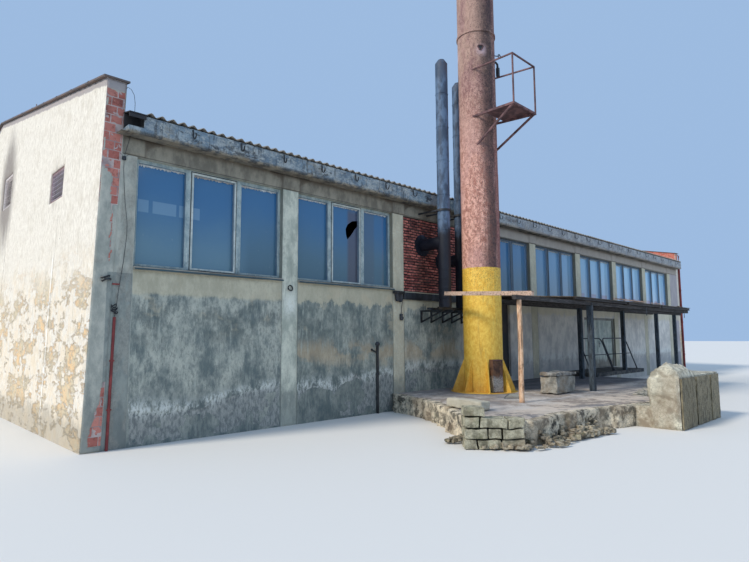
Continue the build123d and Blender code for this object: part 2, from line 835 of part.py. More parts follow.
def rail_loop(x0, x1):
    base_z = PLATFORM_Z + LANDING_DECK
    y0 = RAIL_FOOT_Y
    y1 = y0 + RAIL_LEAN
    top_z = base_z + RAIL_HEIGHT
    bend_y = y1 - RAIL_LEAN * RAIL_BEND / RAIL_HEIGHT
    bend_z = top_z - RAIL_BEND
    path = Polyline(
        (x0, y0, base_z), (x0, bend_y, bend_z), (x0 + RAIL_BEND, y1, top_z),
        (x1 - RAIL_BEND, y1, top_z), (x1, bend_y, bend_z), (x1, y0, base_z))
    start = Plane(origin=path @ 0, z_dir=path % 0)
    loop = sweep(start * Circle(RAIL_R), path=path, transition=Transition.RIGHT)
    middle_y = (y0 + y1) / 2
    middle_z = base_z + RAIL_HEIGHT / 2
    loop += rod((x0, middle_y, middle_z), (x1, middle_y, middle_z), RAIL_R * 0.8)
    return loop & block(x0 - 60, x1 + 60, y0 - 100, y1 + 100, base_z, base_z + RAIL_HEIGHT + 60)


def landing_rails():
    return Part() + [rail_loop(x0, x1) for x0, x1 in RAIL_SPANS]


def canopy_z(y):
    return CANOPY_FRONT_Z + CANOPY_SLOPE * (y - CANOPY_FRONT_Y)


def canopy_sheet(x0, x1, y0):
    y1 = CANOPY_WALL_Y
    points = (
        (y0, canopy_z(y0)),
        (y1, canopy_z(y1)),
        (y1, canopy_z(y1) + BOARD),
        (y0, canopy_z(y0) + BOARD),
    )
    return prism_x(points, x0, x1)


def canopy_roof():
    deep = canopy_sheet(CANOPY_X0, CANOPY_STEP_X, CANOPY_FRONT_Y)
    return deep + canopy_sheet(CANOPY_STEP_X, CANOPY_X1, CANOPY_STEP_Y)


def canopy_rafter(x, y0):
    y1 = CANOPY_WALL_Y
    points = (
        (y0, canopy_z(y0) - RAFTER),
        (y1, canopy_z(y1) - RAFTER),
        (y1, canopy_z(y1)),
        (y0, canopy_z(y0)),
    )
    return prism_x(points, x - RAFTER_WIDTH / 2, x + RAFTER_WIDTH / 2)


def canopy_rafters():
    deep = [canopy_rafter(x, FRONT_ROW_Y - 60) for x in DEEP_RAFTERS_X]
    return deep + [canopy_rafter(x, CANOPY_STEP_Y + 20) for x in SHORT_RAFTERS_X]


def beam_top(y):
    return canopy_z(y) - RAFTER


def canopy_beam(x0, x1, y0, y1):
    low = beam_top(y0) - BEAM
    points = ((y0, low), (y1, low), (y1, beam_top(y1)), (y0, beam_top(y0)))
    return prism_x(points, x0, x1)


def canopy_beams():
    half = BEAM / 2
    front = canopy_beam(CANOPY_BEAM_X0, CANOPY_STEP_X, FRONT_ROW_Y - half, FRONT_ROW_Y + half)
    back = canopy_beam(BACK_BEAM_X0, CANOPY_X1, BACK_ROW_Y - half, BACK_ROW_Y + half)
    ledger = canopy_beam(LEDGER_X0, CANOPY_X1, -LEDGER_WIDE, 0.0)
    return front, back, ledger


def post(x, y, foot):
    half = POST / 2
    top = beam_top(y - BEAM / 2) - BEAM
    return block(x - half, x + half, y - half, y + half, foot, top)


def timber_post():
    top = beam_top(FRONT_ROW_Y - BEAM / 2) - BEAM
    foot = (TIMBER_POST_X, FRONT_ROW_Y, PLATFORM_Z)
    return rod(foot, (TIMBER_POST_X, FRONT_ROW_Y, top), TIMBER_POST_R)


def steel_posts():
    parts = [post(FRONT_POST_X, FRONT_ROW_Y, PLATFORM_Z)]
    parts.append(post(BACK_POST_X, BACK_ROW_Y, PLATFORM_Z))
    parts.append(post(LANDING_POST_X, BACK_ROW_Y, PLATFORM_Z + LANDING_DECK))
    parts += [post(x, BACK_ROW_Y, 0.0) for x in GROUND_POSTS_X]
    return Part() + parts


def loose_rafter():
    lift = LOOSE_TALL / 2 + 1.0
    start = (*LOOSE_START, beam_top(LOOSE_START[1]) + lift)
    end = (*LOOSE_END, beam_top(LOOSE_END[1]) + lift)
    piece = bar(start, end, LOOSE_WIDE, LOOSE_TALL)
    return piece - canopy_beams()[0]


def dock_block():
    tall = block(DOCK_X0, DOCK_X1, DOCK_Y0, DOCK_STEP_Y, 0.0, DOCK_Z)
    return tall + block(DOCK_X0, DOCK_X1, DOCK_STEP_Y, DOCK_Y1, 0.0, PLATFORM_Z)


def dock_timbers():
    parts = []
    for i in range(len(PLANK_OFFSETS) - 1):
        x0 = DOCK_X0 + PLANK_OFFSETS[i]
        x1 = DOCK_X0 + PLANK_OFFSETS[i + 1] - PLANK_GAP
        top = DOCK_Z - PLANK_LOWER - PLANK_STEP * i
        parts.append(block(x0, x1, DOCK_Y0 - PLANK_THICK, DOCK_Y0, 0.0, top))
    return Part() + parts


def downpipe():
    y = -DOWNPIPE_R - DOWNPIPE_REST
    return rod((DOWNPIPE_X, y, 0.0), (DOWNPIPE_X, y, DOWNPIPE_TOP), DOWNPIPE_R)


def conductor_guard():
    foot, head = GUARD_X
    return rod((foot, -GUARD_R, 0.0), (head, -GUARD_R, GUARD_TOP), GUARD_R)


def window_frames():
    front = [window_frame(i) for i in window_bays()]
    return Part() + (front + [mirrored(window_frame(i)) for i in range(BAYS)])


def window_glazing():
    front = [window_glass(i) for i in window_bays() if i != 1] + [broken_glass()]
    return Part() + (front + [mirrored(window_glass(i)) for i in range(BAYS)])


def window_sills():
    front = [window_sill(i) for i in window_bays()]
    return Part() + (front + [mirrored(window_sill(i)) for i in range(BAYS)])


def both_sides(shape, other=None):
    return Part() + [shape, mirrored(other if other else shape)]


def gable_copings():
    past = 2 * COPING_OVERHANG
    strip = gable_solid(
        COPING_OUTSIDE, COPING_INSIDE, 0.0, GABLE_CUT_Z, -past, DEPTH + past)
    near = coping(PARAPET_EAVE_Z, *GABLE_SPAN_X) & strip
    far_eave = PARAPET_EAVE_Z - FAR_PARAPET_LOWER
    far = coping(far_eave, FAR_INNER_X - COPING_INSIDE, FAR_OUTER_X + COPING_INSIDE)
    return Part() + [near, far]


def stack_base():
    return stack_base_plate() + stack_fins()


def flues():
    near = flue(FLUE_A_X, FLUE_A_Y, FLUE_A_TOP)
    return Part() + [near, flue(FLUE_B_X, FLUE_B_Y, FLUE_B_TOP)]


def flue_ducts():
    near = duct(FLUE_A_X, FLUE_A_Y, DUCT_A_Z) + wall_flange(FLUE_A_X, DUCT_A_Z)
    far = duct(FLUE_B_X, FLUE_B_Y, DUCT_B_Z) + wall_flange(FLUE_B_X, DUCT_B_Z)
    return Part() + [near, far]


def wall_steelwork():
    return Part() + [wall_brackets(), sill_beam(), flue_clamps()]


def wall_pipes():
    return Part() + [downpipe(), conductor_guard(), pipe_stub()]


def concrete_blocks():
    return Part() + [concrete_plinth(), kerb_lump(), landing_block()]


def canopy_frame():
    front, back, ledger = canopy_beams()
    frame = front
    for rafter in canopy_rafters():
        frame = frame + rafter
    return frame + back + ledger


PIECES = {
    "near_gable_wall": near_gable_wall,
    "louvres": lambda: Part() + [louvre(*LOUVRES[0]), louvre(*LOUVRES[1])],
    "gable_copings": gable_copings,
    "far_gable_wall": far_gable_wall,
    "columns": lambda: both_sides(front_columns()),
    "front_panels": front_panels,
    "sheeted_doorway": sheeted_doorway,
    "back_panels": back_panels,
    "door_bay_wall": lambda: Part() + [door_threshold(), door_lintel()],
    "door_side_pier": door_side_pier,
    "door_frame": door_frame,
    "door_leaf_left": lambda: door_leaf(-1),
    "door_leaf_right": lambda: door_leaf(1),
    "brick_infill": brick_infill,
    "ring_beams": lambda: both_sides(ring_beam()),
    "cornices": lambda: both_sides(front_cornice(), cornice_plain()),
    "front_roof": roof_plate,
    "back_roof": lambda: mirrored(roof_plate()),
    "ridge_cap": ridge_cap,
    "roof_beams": roof_beams,
    "floor_slab": floor_slab,
    "window_frames": window_frames,
    "window_glazing": window_glazing,
    "window_sills": window_sills,
    "stack_shell": stack_shell,
    "stack_base": stack_base,
    "soot_door": soot_door,
    "test_platform": test_platform,
    "test_rail": test_rail,
    "flues": flues,
    "flue_ducts": flue_ducts,
    "wall_steelwork": wall_steelwork,
    "wall_pipes": wall_pipes,
    "loading_platform": loading_platform,
    "stone_pier": stone_pier,
    "concrete_blocks": concrete_blocks,
    "landing_deck": landing_deck,
    "landing_rails": landing_rails,
    "canopy_roof": canopy_roof,
    "canopy_frame": canopy_frame,
    "timber_post": timber_post,
    "steel_posts": steel_posts,
    "loose_rafter": loose_rafter,
    "dock_block": dock_block,
    "dock_timbers": dock_timbers,
}

for name, build in PIECES.items():
    export_step(build(), f"parts/{name}.step")
print(len(PIECES), "pieces")
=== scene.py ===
import json
import math
from functools import partial

import bmesh
import bpy
import mathutils
import numpy as np
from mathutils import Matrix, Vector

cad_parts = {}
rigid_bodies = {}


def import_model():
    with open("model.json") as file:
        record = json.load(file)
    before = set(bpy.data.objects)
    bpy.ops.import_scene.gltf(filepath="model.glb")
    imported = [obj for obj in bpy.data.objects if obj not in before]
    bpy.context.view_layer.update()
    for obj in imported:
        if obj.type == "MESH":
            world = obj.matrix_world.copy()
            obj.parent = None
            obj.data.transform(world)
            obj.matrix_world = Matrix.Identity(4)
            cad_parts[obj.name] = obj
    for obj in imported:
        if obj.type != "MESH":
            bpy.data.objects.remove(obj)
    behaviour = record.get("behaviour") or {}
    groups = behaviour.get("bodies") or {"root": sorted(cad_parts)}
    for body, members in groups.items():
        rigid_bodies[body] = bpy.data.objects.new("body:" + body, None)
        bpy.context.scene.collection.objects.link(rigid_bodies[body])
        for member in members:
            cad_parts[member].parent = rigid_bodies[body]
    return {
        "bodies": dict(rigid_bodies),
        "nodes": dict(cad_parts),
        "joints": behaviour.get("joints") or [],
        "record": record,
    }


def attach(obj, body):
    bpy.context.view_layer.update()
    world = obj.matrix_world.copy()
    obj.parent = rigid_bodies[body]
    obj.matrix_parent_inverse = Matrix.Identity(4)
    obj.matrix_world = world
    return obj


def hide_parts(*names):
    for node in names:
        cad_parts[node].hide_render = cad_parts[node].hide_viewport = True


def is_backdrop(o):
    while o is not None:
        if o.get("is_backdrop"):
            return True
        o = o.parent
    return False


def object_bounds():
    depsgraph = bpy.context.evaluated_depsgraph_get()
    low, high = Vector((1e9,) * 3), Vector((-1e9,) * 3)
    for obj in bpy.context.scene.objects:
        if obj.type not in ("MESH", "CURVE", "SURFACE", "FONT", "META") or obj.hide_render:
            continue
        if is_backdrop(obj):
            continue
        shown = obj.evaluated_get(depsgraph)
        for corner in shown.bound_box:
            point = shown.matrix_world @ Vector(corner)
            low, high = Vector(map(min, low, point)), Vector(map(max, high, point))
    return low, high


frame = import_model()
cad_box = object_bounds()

# Metres. X along the front, Y into the building, Z up, as in the part.
BAY = 3.6
BAYS = 8
DEPTH = 19.2
COLUMN_HALF = 0.218
FIRST_JAMB = 0.1
FAR_INNER_X = 30.165
FAR_OUTER_X = 30.5
FLOOR_Z = 0.6
SILL_Z = 3.2
HEAD_Z = 5.326
SOFFIT_Z = 5.68
GABLE_FOOT_X = -0.665
GABLE_LEAN = 0.0262
GABLE_THICK = 0.335
COPING_TALL = 0.035
PARAPET_EAVE_Z = 6.69
ROOF_SLOPE = 0.196
RIDGE_Y = DEPTH / 2
CORNICE_OUT = 0.27
SHEET_OUT = 0.33
EAVE_Z = SOFFIT_Z + 0.36 - ROOF_SLOPE * (SHEET_OUT - CORNICE_OUT)
FRAME_EDGE = 0.062
MULLION = 0.15
PANES = 3
WALL_SUNK = -0.004
LOUVRES = ((2.3, 3.35, 4.9, 5.6), (7.45, 8.55, 5.625, 6.575))
SHEETED = (11.75, 12.75, 0.6, 3.08)
DOOR = (18.368, 21.382, 0.6, 2.72)
STACK = (9.1, -1.4)
STACK_R = 0.53
FLUE_A = (8.25, -0.78)
FLUE_B = (9.17, -0.665)
FLUE_R = 0.175
PLATFORM_Z = 0.45
PLATFORM_EDGE = ((7.0, 0.0), (6.3, -2.0), (4.7, -4.3), (5.3, -5.0), (6.6, -4.9), (8.0, -5.15), (9.35, -5.5),
                 (10.6, -5.5), (10.9, -4.7), (12.9, -4.25), (16.6, -3.3), (16.6, 0.0),)


def rgb(red, green, blue):
    """The linear colour of a screen colour: each share of 255 to the power 2.2."""
    return tuple((c / 255) ** 2.2 for c in (red, green, blue)) + (1.0,)


# Numbers on arrays of points
def smooth(low, high, x):
    """0 below low, 1 above high, and 3t2 - 2t3 between."""
    t = np.clip((x - low) / (high - low), 0, 1)
    return t * t * (3 - 2 * t)


def lattice(i, j, k, seed):
    """A fixed scattered number from 0 to 1 for each whole-number corner of a lattice."""
    h = (i * 374761393 + j * 668265263 + k * 951274213 + seed * 1274126177) & 0xFFFFFFFF
    h = ((h ^ (h >> 13)) * 1274126177) & 0xFFFFFFFF
    return ((h ^ (h >> 16)) & 0xFFFF) / 65535.0


def noise(points, size, seed=0, octaves=1):
    """Corner numbers blended along each axis; each octave has half the cell and half the share."""
    total, share, norm = 0.0, 1.0, 0.0
    for octave in range(octaves):
        q = points / (size * 0.5 ** octave)
        cell = np.floor(q).astype(np.int64)
        t = q - cell
        t = t * t * (3 - 2 * t)
        value = 0.0
        for corner in range(8):
            d = ((corner >> 2) & 1, (corner >> 1) & 1, corner & 1)
            weight = 1.0
            for axis in range(3):
                weight = weight * (t[..., axis] if d[axis] else 1 - t[..., axis])
            value = value + weight * lattice(cell[..., 0] + d[0], cell[..., 1] + d[1], cell[..., 2] + d[2],
                    seed + octave)
        total = total + share * value
        norm += share
        share *= 0.5
    return total / norm


def waves(points, *layers):
    """Noises about zero, added up: each layer is an amount, a size, a seed and its octaves."""
    return sum(amount * (noise(points, *rest) - 0.5) for amount, *rest in layers)


def scatter(count, seed, columns=1):
    """Fixed scattered numbers from 0 to 1 in an array of count rows."""
    i = np.arange(count)[:, None]
    j = np.arange(columns)[None, :]
    return lattice(i * 7 + 3, j * 5 + 1, i + j, seed)


# Surfaces
class Surface:
    """Points, faces and named values of one surface. Adding two puts them side by side."""

    def __init__(self, points, faces, **values):
        self.points = np.asarray(points, float).reshape(-1, 3)
        self.faces = faces if isinstance(faces, list) else [faces]
        self.values = {k: np.asarray(v, float).ravel() for k, v in values.items()}

    def __add__(self, other):
        shift = len(self.points)
        values = {}
        for key in set(self.values) | set(other.values):
            mine = self.values.get(key, np.zeros(shift))
            theirs = other.values.get(key, np.zeros(len(other.points)))
            values[key] = np.concatenate([mine, theirs])
        points = np.concatenate([self.points, other.points])
        return Surface(points, self.faces + [f + shift for f in other.faces], **values)

    def moved(self, change):
        """The same surface with its points sent through a function."""
        return Surface(change(self.points), self.faces, **self.values)


def all_of(surfaces):
    """Several surfaces side by side."""
    return sum(surfaces, Surface([], []))


def together(maker):
    """A function that yields surfaces gives them side by side instead."""
    return lambda *numbers: all_of(maker(*numbers))


def xyz(*axes):
    """Points from their coordinates, some of which may be single numbers."""
    return np.stack(np.broadcast_arrays(*axes), -1)


def grid_faces(rows, columns, wrap_rows=False, wrap_columns=False):
    """Corner numbers of a grid's quads; a face looks along the column way crossed with the row way."""
    r, c = np.meshgrid(np.arange(rows if wrap_rows else rows - 1),
                       np.arange(columns if wrap_columns else columns - 1), indexing="ij")
    r1, c1 = (r + 1) % rows, (c + 1) % columns
    return np.stack([r * columns + c, r * columns + c1, r1 * columns + c1, r1 * columns + c],
                    -1).reshape(-1, 4)


def box_shell(cuts):
    """Lattice places on the outside of a box with that many cuts an axis, and its quads."""
    ijk = np.stack(np.meshgrid(*[np.arange(c) for c in cuts], indexing="ij"), -1).reshape(-1, 3)
    outside = ((ijk == 0) | (ijk == np.array(cuts) - 1)).any(1)
    number = np.full(len(ijk), -1)
    number[outside] = np.arange(outside.sum())
    number = number.reshape(cuts)
    faces = []
    for axis in range(3):
        u, v = (axis + 1) % 3, (axis + 2) % 3
        iu, iv = np.meshgrid(np.arange(cuts[u] - 1), np.arange(cuts[v] - 1), indexing="ij")
        for side in (0, cuts[axis] - 1):
            corners = []
            for du, dv in ((0, 0), (1, 0), (1, 1), (0, 1)):
                place = [None] * 3
                place[axis] = np.full(iu.size, side)
                place[u] = iu.ravel() + du
                place[v] = iv.ravel() + dv
                corners.append(number[tuple(place)])
            quads = np.stack(corners, -1)
            faces.append(quads if side else quads[:, ::-1])
    return ijk[outside], np.concatenate(faces)


def boxes(low, high, radius, cuts=(4, 4, 4), rough=0.0, size=0.1, seed=0):
    """Boxes with rounded edges, many at once: a point goes to the box shrunk by the radius,
    plus the radius along the way out, less rough times noise. Each box has a number "shade"."""
    low, high = np.atleast_2d(low).astype(float), np.atleast_2d(high).astype(float)
    ijk, faces = box_shell(cuts)
    count = len(low)
    points = np.empty((count, len(ijk), 3))
    for axis in range(3):
        lo, hi = low[:, axis, None], high[:, axis, None]
        inner = lo + radius + (hi - lo - 2 * radius) * np.linspace(0, 1, cuts[axis] - 2)
        points[:, :, axis] = np.concatenate([lo, inner, hi], 1)[:, ijk[:, axis]]
    core = np.clip(points, (low + radius)[:, None], (high - radius)[:, None])
    out = points - core
    way = out / np.maximum(np.linalg.norm(out, axis=2, keepdims=True), 1e-9)
    depth = rough * noise(points, size, seed, 3)[..., None] if rough else 0.0
    points = core + way * (radius - depth)
    shift = (np.arange(count) * len(ijk))[:, None, None]
    shade = np.repeat(scatter(count, seed + 9)[:, 0], len(ijk))
    return Surface(points, (faces[None] + shift).reshape(-1, 4), shade=shade)


def circle(count, radius):
    """Points round a circle, anticlockwise."""
    angle = np.arange(count) * 2 * math.pi / count
    return np.stack([radius * np.cos(angle), radius * np.sin(angle)], 1)


def tube(path, profile, up=(0, 0, 1), closed=False):
    """A profile carried along a path: its first number goes sideways and its second along up.
    Sideways is the path's way crossed with up. Open tubes end in a fan of triangles."""
    path, profile = np.asarray(path, float), np.asarray(profile, float)
    if closed:
        way = np.roll(path, -1, 0) - np.roll(path, 1, 0)
    else:
        way = np.gradient(path, axis=0)
    way = way / np.linalg.norm(way, axis=1, keepdims=True)
    side = np.cross(way, np.asarray(up, float))
    side = side / np.linalg.norm(side, axis=1, keepdims=True)
    top = np.cross(side, way)
    points = path[:, None] + profile[None, :, :1] * side[:, None] + profile[None, :, 1:] * top[:, None]
    rows, columns = len(path), len(profile)
    faces = [grid_faces(rows, columns, closed, True)]
    points = points.reshape(-1, 3)
    if not closed:
        ring = np.arange(columns)
        after = np.roll(ring, -1)
        last = (rows - 1) * columns
        points = np.concatenate([points, path[:1], path[-1:]])
        start, end = len(points) - 2, len(points) - 1
        faces.append(np.stack([after, ring, np.full(columns, start)], 1))
        faces.append(np.stack([ring + last, after + last, np.full(columns, end)], 1))
    return Surface(points, faces)


UP = np.array((0, 0, 1))


def rod(path, radius, sides=8, up=(0, 1, 0)):
    """Round bar along a path."""
    return tube(path, circle(sides, radius), up)


def flat(wide, tall):
    """The profile of a flat bar, from half its width and half its height."""
    return [(-wide, -tall), (wide, -tall), (wide, tall), (-wide, tall)]


def loft(rows, **values):
    """Rings of points joined in turn, with a face at each end."""
    count, ring = rows.shape[:2]
    end = np.arange(ring)
    last = end[::-1] + (count - 1) * ring
    return Surface(rows, [grid_faces(count, ring, False, True), end[None], last[None]], **values)


def turned(surface, angle, x, y, lift=0.0):
    """The same surface turned about the upright axis, then moved to x, y and lifted."""
    c, s = math.cos(angle), math.sin(angle)
    return surface.moved(lambda p: xyz(x + p[:, 0] * c - p[:, 1] * s, y + p[:, 0] * s + p[:, 1] * c, p[:,
            2] + lift))


def lifted(surface, height):
    """The same surface with each point raised by a function of its X and Y."""
    return surface.moved(lambda p: p + xyz(0, 0, height(p[:, 0], p[:, 1])))


def rings(x0, x1, z0, z1, profile):
    """Rectangular rings in the XZ plane, many at once. The profile gives inset and y in turn."""
    inset, y = np.array(profile).T
    left, right = np.reshape(x0, (-1, 1)) + inset, np.reshape(x1, (-1, 1)) - inset
    low, high = z0 + inset, z1 - inset
    corners = ((left, low), (right, low), (right, high), (left, high))
    points = np.stack([xyz(x, y, z) for x, z in corners], 1)
    count, _, size, _ = points.shape
    shift = (np.arange(count) * 4 * size)[:, None, None]
    shade = np.repeat(scatter(count, 31)[:, 0], 4 * size)
    return Surface(points, (grid_faces(4, size, True, True) + shift).reshape(-1, 4), shade=shade)


def line_places(low, high, step, extra=()):
    """Places from low to high about a step apart, with the extra ones among them."""
    count = max(2, int(round((high - low) / step)) + 1)
    places = np.concatenate([np.linspace(low, high, count), [e for e in extra if low < e < high]])
    return np.unique(np.round(places, 5))


def skin(along, up, place, relief, top=None, holes=()):
    """A skin of render on a flat wall: a grid over along and up, cut off at top(along).
    relief gives how far each point stands out and its values; rims and hole rims lie in the wall."""
    a, u = np.meshgrid(along, up, indexing="ij")
    cut = top(a) if top else np.full_like(a, up[-1])
    above = u >= cut - 1e-6
    u = np.minimum(u, cut)
    out, values = relief(a, u)
    rim = above.copy()
    rim[0, :] = rim[-1, :] = rim[:, 0] = True
    faces = grid_faces(*a.shape)
    flat_a, flat_u = a.ravel(), u.ravel()
    keep = np.ptp(flat_u[faces], axis=1) > 1e-5
    middle_a, middle_u = flat_a[faces].mean(1), flat_u[faces].mean(1)
    for a0, a1, u0, u1 in holes:
        keep &= ~((middle_a > a0) & (middle_a < a1) & (middle_u > u0) & (middle_u < u1))
        rim |= (a >= a0 - 1e-5) & (a <= a1 + 1e-5) & (u >= u0 - 1e-5) & (u <= u1 + 1e-5)
    out = np.where(rim, WALL_SUNK, out)
    faces = faces[keep]
    used, numbered = np.unique(faces, return_inverse=True)
    points = place(flat_a[used], flat_u[used], out.ravel()[used])
    values = {k: v.ravel()[used] for k, v in values.items()}
    return Surface(points, numbered.reshape(faces.shape), **values)


def piece(name, surface, material, kind="hard", body="building", replaces=()):
    """One object of the scene from a surface. Hard and round ones get their doubles merged and face
    out, skins and bricks don't; skins and round ones are shaded smoothly."""
    mesh = bpy.data.meshes.new(name)
    loops = np.concatenate([f.ravel() for f in surface.faces]).astype(np.int32)
    totals = np.concatenate([np.full(len(f), f.shape[1]) for f in surface.faces])
    starts = np.concatenate([[0], np.cumsum(totals)[:-1]]).astype(np.int32)
    mesh.vertices.add(len(surface.points))
    mesh.vertices.foreach_set("co", surface.points.astype(np.float32).ravel())
    mesh.loops.add(len(loops))
    mesh.loops.foreach_set("vertex_index", loops)
    mesh.polygons.add(len(totals))
    mesh.polygons.foreach_set("loop_start", starts)
    for key, value in surface.values.items():
        attribute = mesh.attributes.new(key, "FLOAT", "POINT")
        attribute.data.foreach_set("value", value.astype(np.float32))
    mesh.update(calc_edges=True)
    mesh.validate()
    if kind in ("hard", "round"):
        work = bmesh.new()
        work.from_mesh(mesh)
        bmesh.ops.remove_doubles(work, verts=work.verts, dist=1e-6)
        bmesh.ops.recalc_face_normals(work, faces=work.faces)
        work.to_mesh(mesh)
        work.free()
    mesh.polygons.foreach_set("use_smooth", np.full(len(mesh.polygons), kind in ("skin", "round")))
    made = bpy.data.objects.new(name, mesh)
    bpy.context.scene.collection.objects.link(made)
    mesh.materials.append(material)
    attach(made, body)
    if replaces:
        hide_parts(*replaces)
    return made


# Materials
class Field:
    """One output of a material's node. Python's operators add the Math node that does the same."""

    def __init__(self, paint, socket):
        self.paint, self.socket = paint, socket

    def math(self, operation, *others, clamp=False):
        inputs = dict(enumerate((self, *others)))
        return self.paint.node("ShaderNodeMath", inputs, operation=operation, use_clamp=clamp)[0]

    def __rsub__(self, other):
        return self.math("MULTIPLY", -1.0).math("ADD", other)

    def rise(self, low=0.4, high=0.6, start=0.0, end=1.0):
        """start below low and end above high, smooth between."""
        inputs = {"Value": self, "From Min": low, "From Max": high, "To Min": start, "To Max": end}
        return self.paint.node("ShaderNodeMapRange", inputs, interpolation_type="SMOOTHSTEP")[0]

    def fall(self, low, high):
        """1 below low and 0 above high, smooth between."""
        return self.rise(low, high, 1.0, 0.0)

    def held(self):
        return self.math("ADD", 0.0, clamp=True)

    def near(self, centre, width):
        """1 at centre and 0 a width away."""
        return ((self - centre).math("ABSOLUTE") / width).fall(0.0, 1.0)


def operator(operation):
    """The method that does one operation of the Math node."""
    return lambda field, other: field.math(operation, other)


for method, operation in (("__add__", "ADD"), ("__radd__", "ADD"), ("__sub__", "SUBTRACT"),
                          ("__mul__", "MULTIPLY"), ("__rmul__", "MULTIPLY"), ("__truediv__", "DIVIDE"),
                          ("__pow__", "POWER"), ("most", "MAXIMUM"), ("least", "MINIMUM")):
    setattr(Field, method, operator(operation))


class Paint:
    """One material, built up coat by coat. Every node but plain maths comes from node()."""

    def __init__(self, name):
        self.material = bpy.data.materials.new(name)
        self.material.use_nodes = True
        self.tree = self.material.node_tree
        self.tree.nodes.clear()
        self.place = self.node("ShaderNodeTexCoord", {})[3]

    def node(self, kind, inputs, **settings):
        made = self.tree.nodes.new(kind)
        for key, value in settings.items():
            setattr(made, key, value)
        for key, value in inputs.items():
            if isinstance(value, Field):
                self.tree.links.new(value.socket, made.inputs[key])
            else:
                made.inputs[key].default_value = value
        return [Field(self, socket) for socket in made.outputs]

    def axes(self):
        return self.node("ShaderNodeSeparateXYZ", {0: self.place})

    def grain(self, size, detail=4.0, rough=0.55, seed=0.0, tall=1.0, stretch=None):
        """Noise about 0.5 whose features are size metres, longer along an axis by its stretch."""
        where = tuple(seed * way for way in (7.3, 3.1, 5.7))
        scale = tuple(1 / (size * s) for s in stretch or (1, 1, tall))
        place = self.node("ShaderNodeMapping", {"Vector": self.place, "Location": where, "Scale": scale})[0]
        inputs = {"Vector": place, "Scale": 1.0, "Detail": detail, "Roughness": rough}
        return self.node("ShaderNodeTexNoise", inputs)[0]

    def cells(self, size, feature="DISTANCE_TO_EDGE"):
        """Distance to the edge of scattered cells, or to their middles."""
        place = self.node("ShaderNodeMapping", {"Vector": self.place, "Scale": (1 / size,) * 3})[0]
        return self.node("ShaderNodeTexVoronoi", {"Vector": place, "Scale": 1.0}, feature=feature)[0]

    def value(self, name):
        """A number kept with the surface's points."""
        return self.node("ShaderNodeAttribute", {}, attribute_name=name)[2]

    def mix(self, share, a, b):
        """From colour a to b; either may be three numbers of 255, as on a screen."""
        a, b = (rgb(*c) if isinstance(c, tuple) else c for c in (a, b))
        return self.node("ShaderNodeMix", {0: share, 6: a, 7: b}, data_type="RGBA")[2]

    def base(self, share, a, b):
        self.colour = self.mix(share, a, b)

    def coat(self, share, a, b=None, blend=None):
        """Another colour over what is there, or a blend from a to b."""
        self.base(share, self.colour, a if blend is None else self.mix(blend, a, b))

    def finish(self, rough, height=None, depth=0.01, fixed=()):
        """The shader itself, with a bump of that depth where a height is given."""
        inputs = {"Base Color": self.colour, "Roughness": rough, **dict(fixed)}
        if height is not None:
            bump = {"Height": height, "Distance": depth, "Strength": 1.0}
            inputs["Normal"] = self.node("ShaderNodeBump", bump)[0]
        shader = self.node("ShaderNodeBsdfPrincipled", inputs)[0]
        self.node("ShaderNodeOutputMaterial", {"Surface": shader})
        return self.material


def paint(maker):
    """The material that a function lays on, which gets the paint and the three axes."""
    def made():
        p = Paint(maker.__name__)
        return maker(p, *p.axes())

    return made


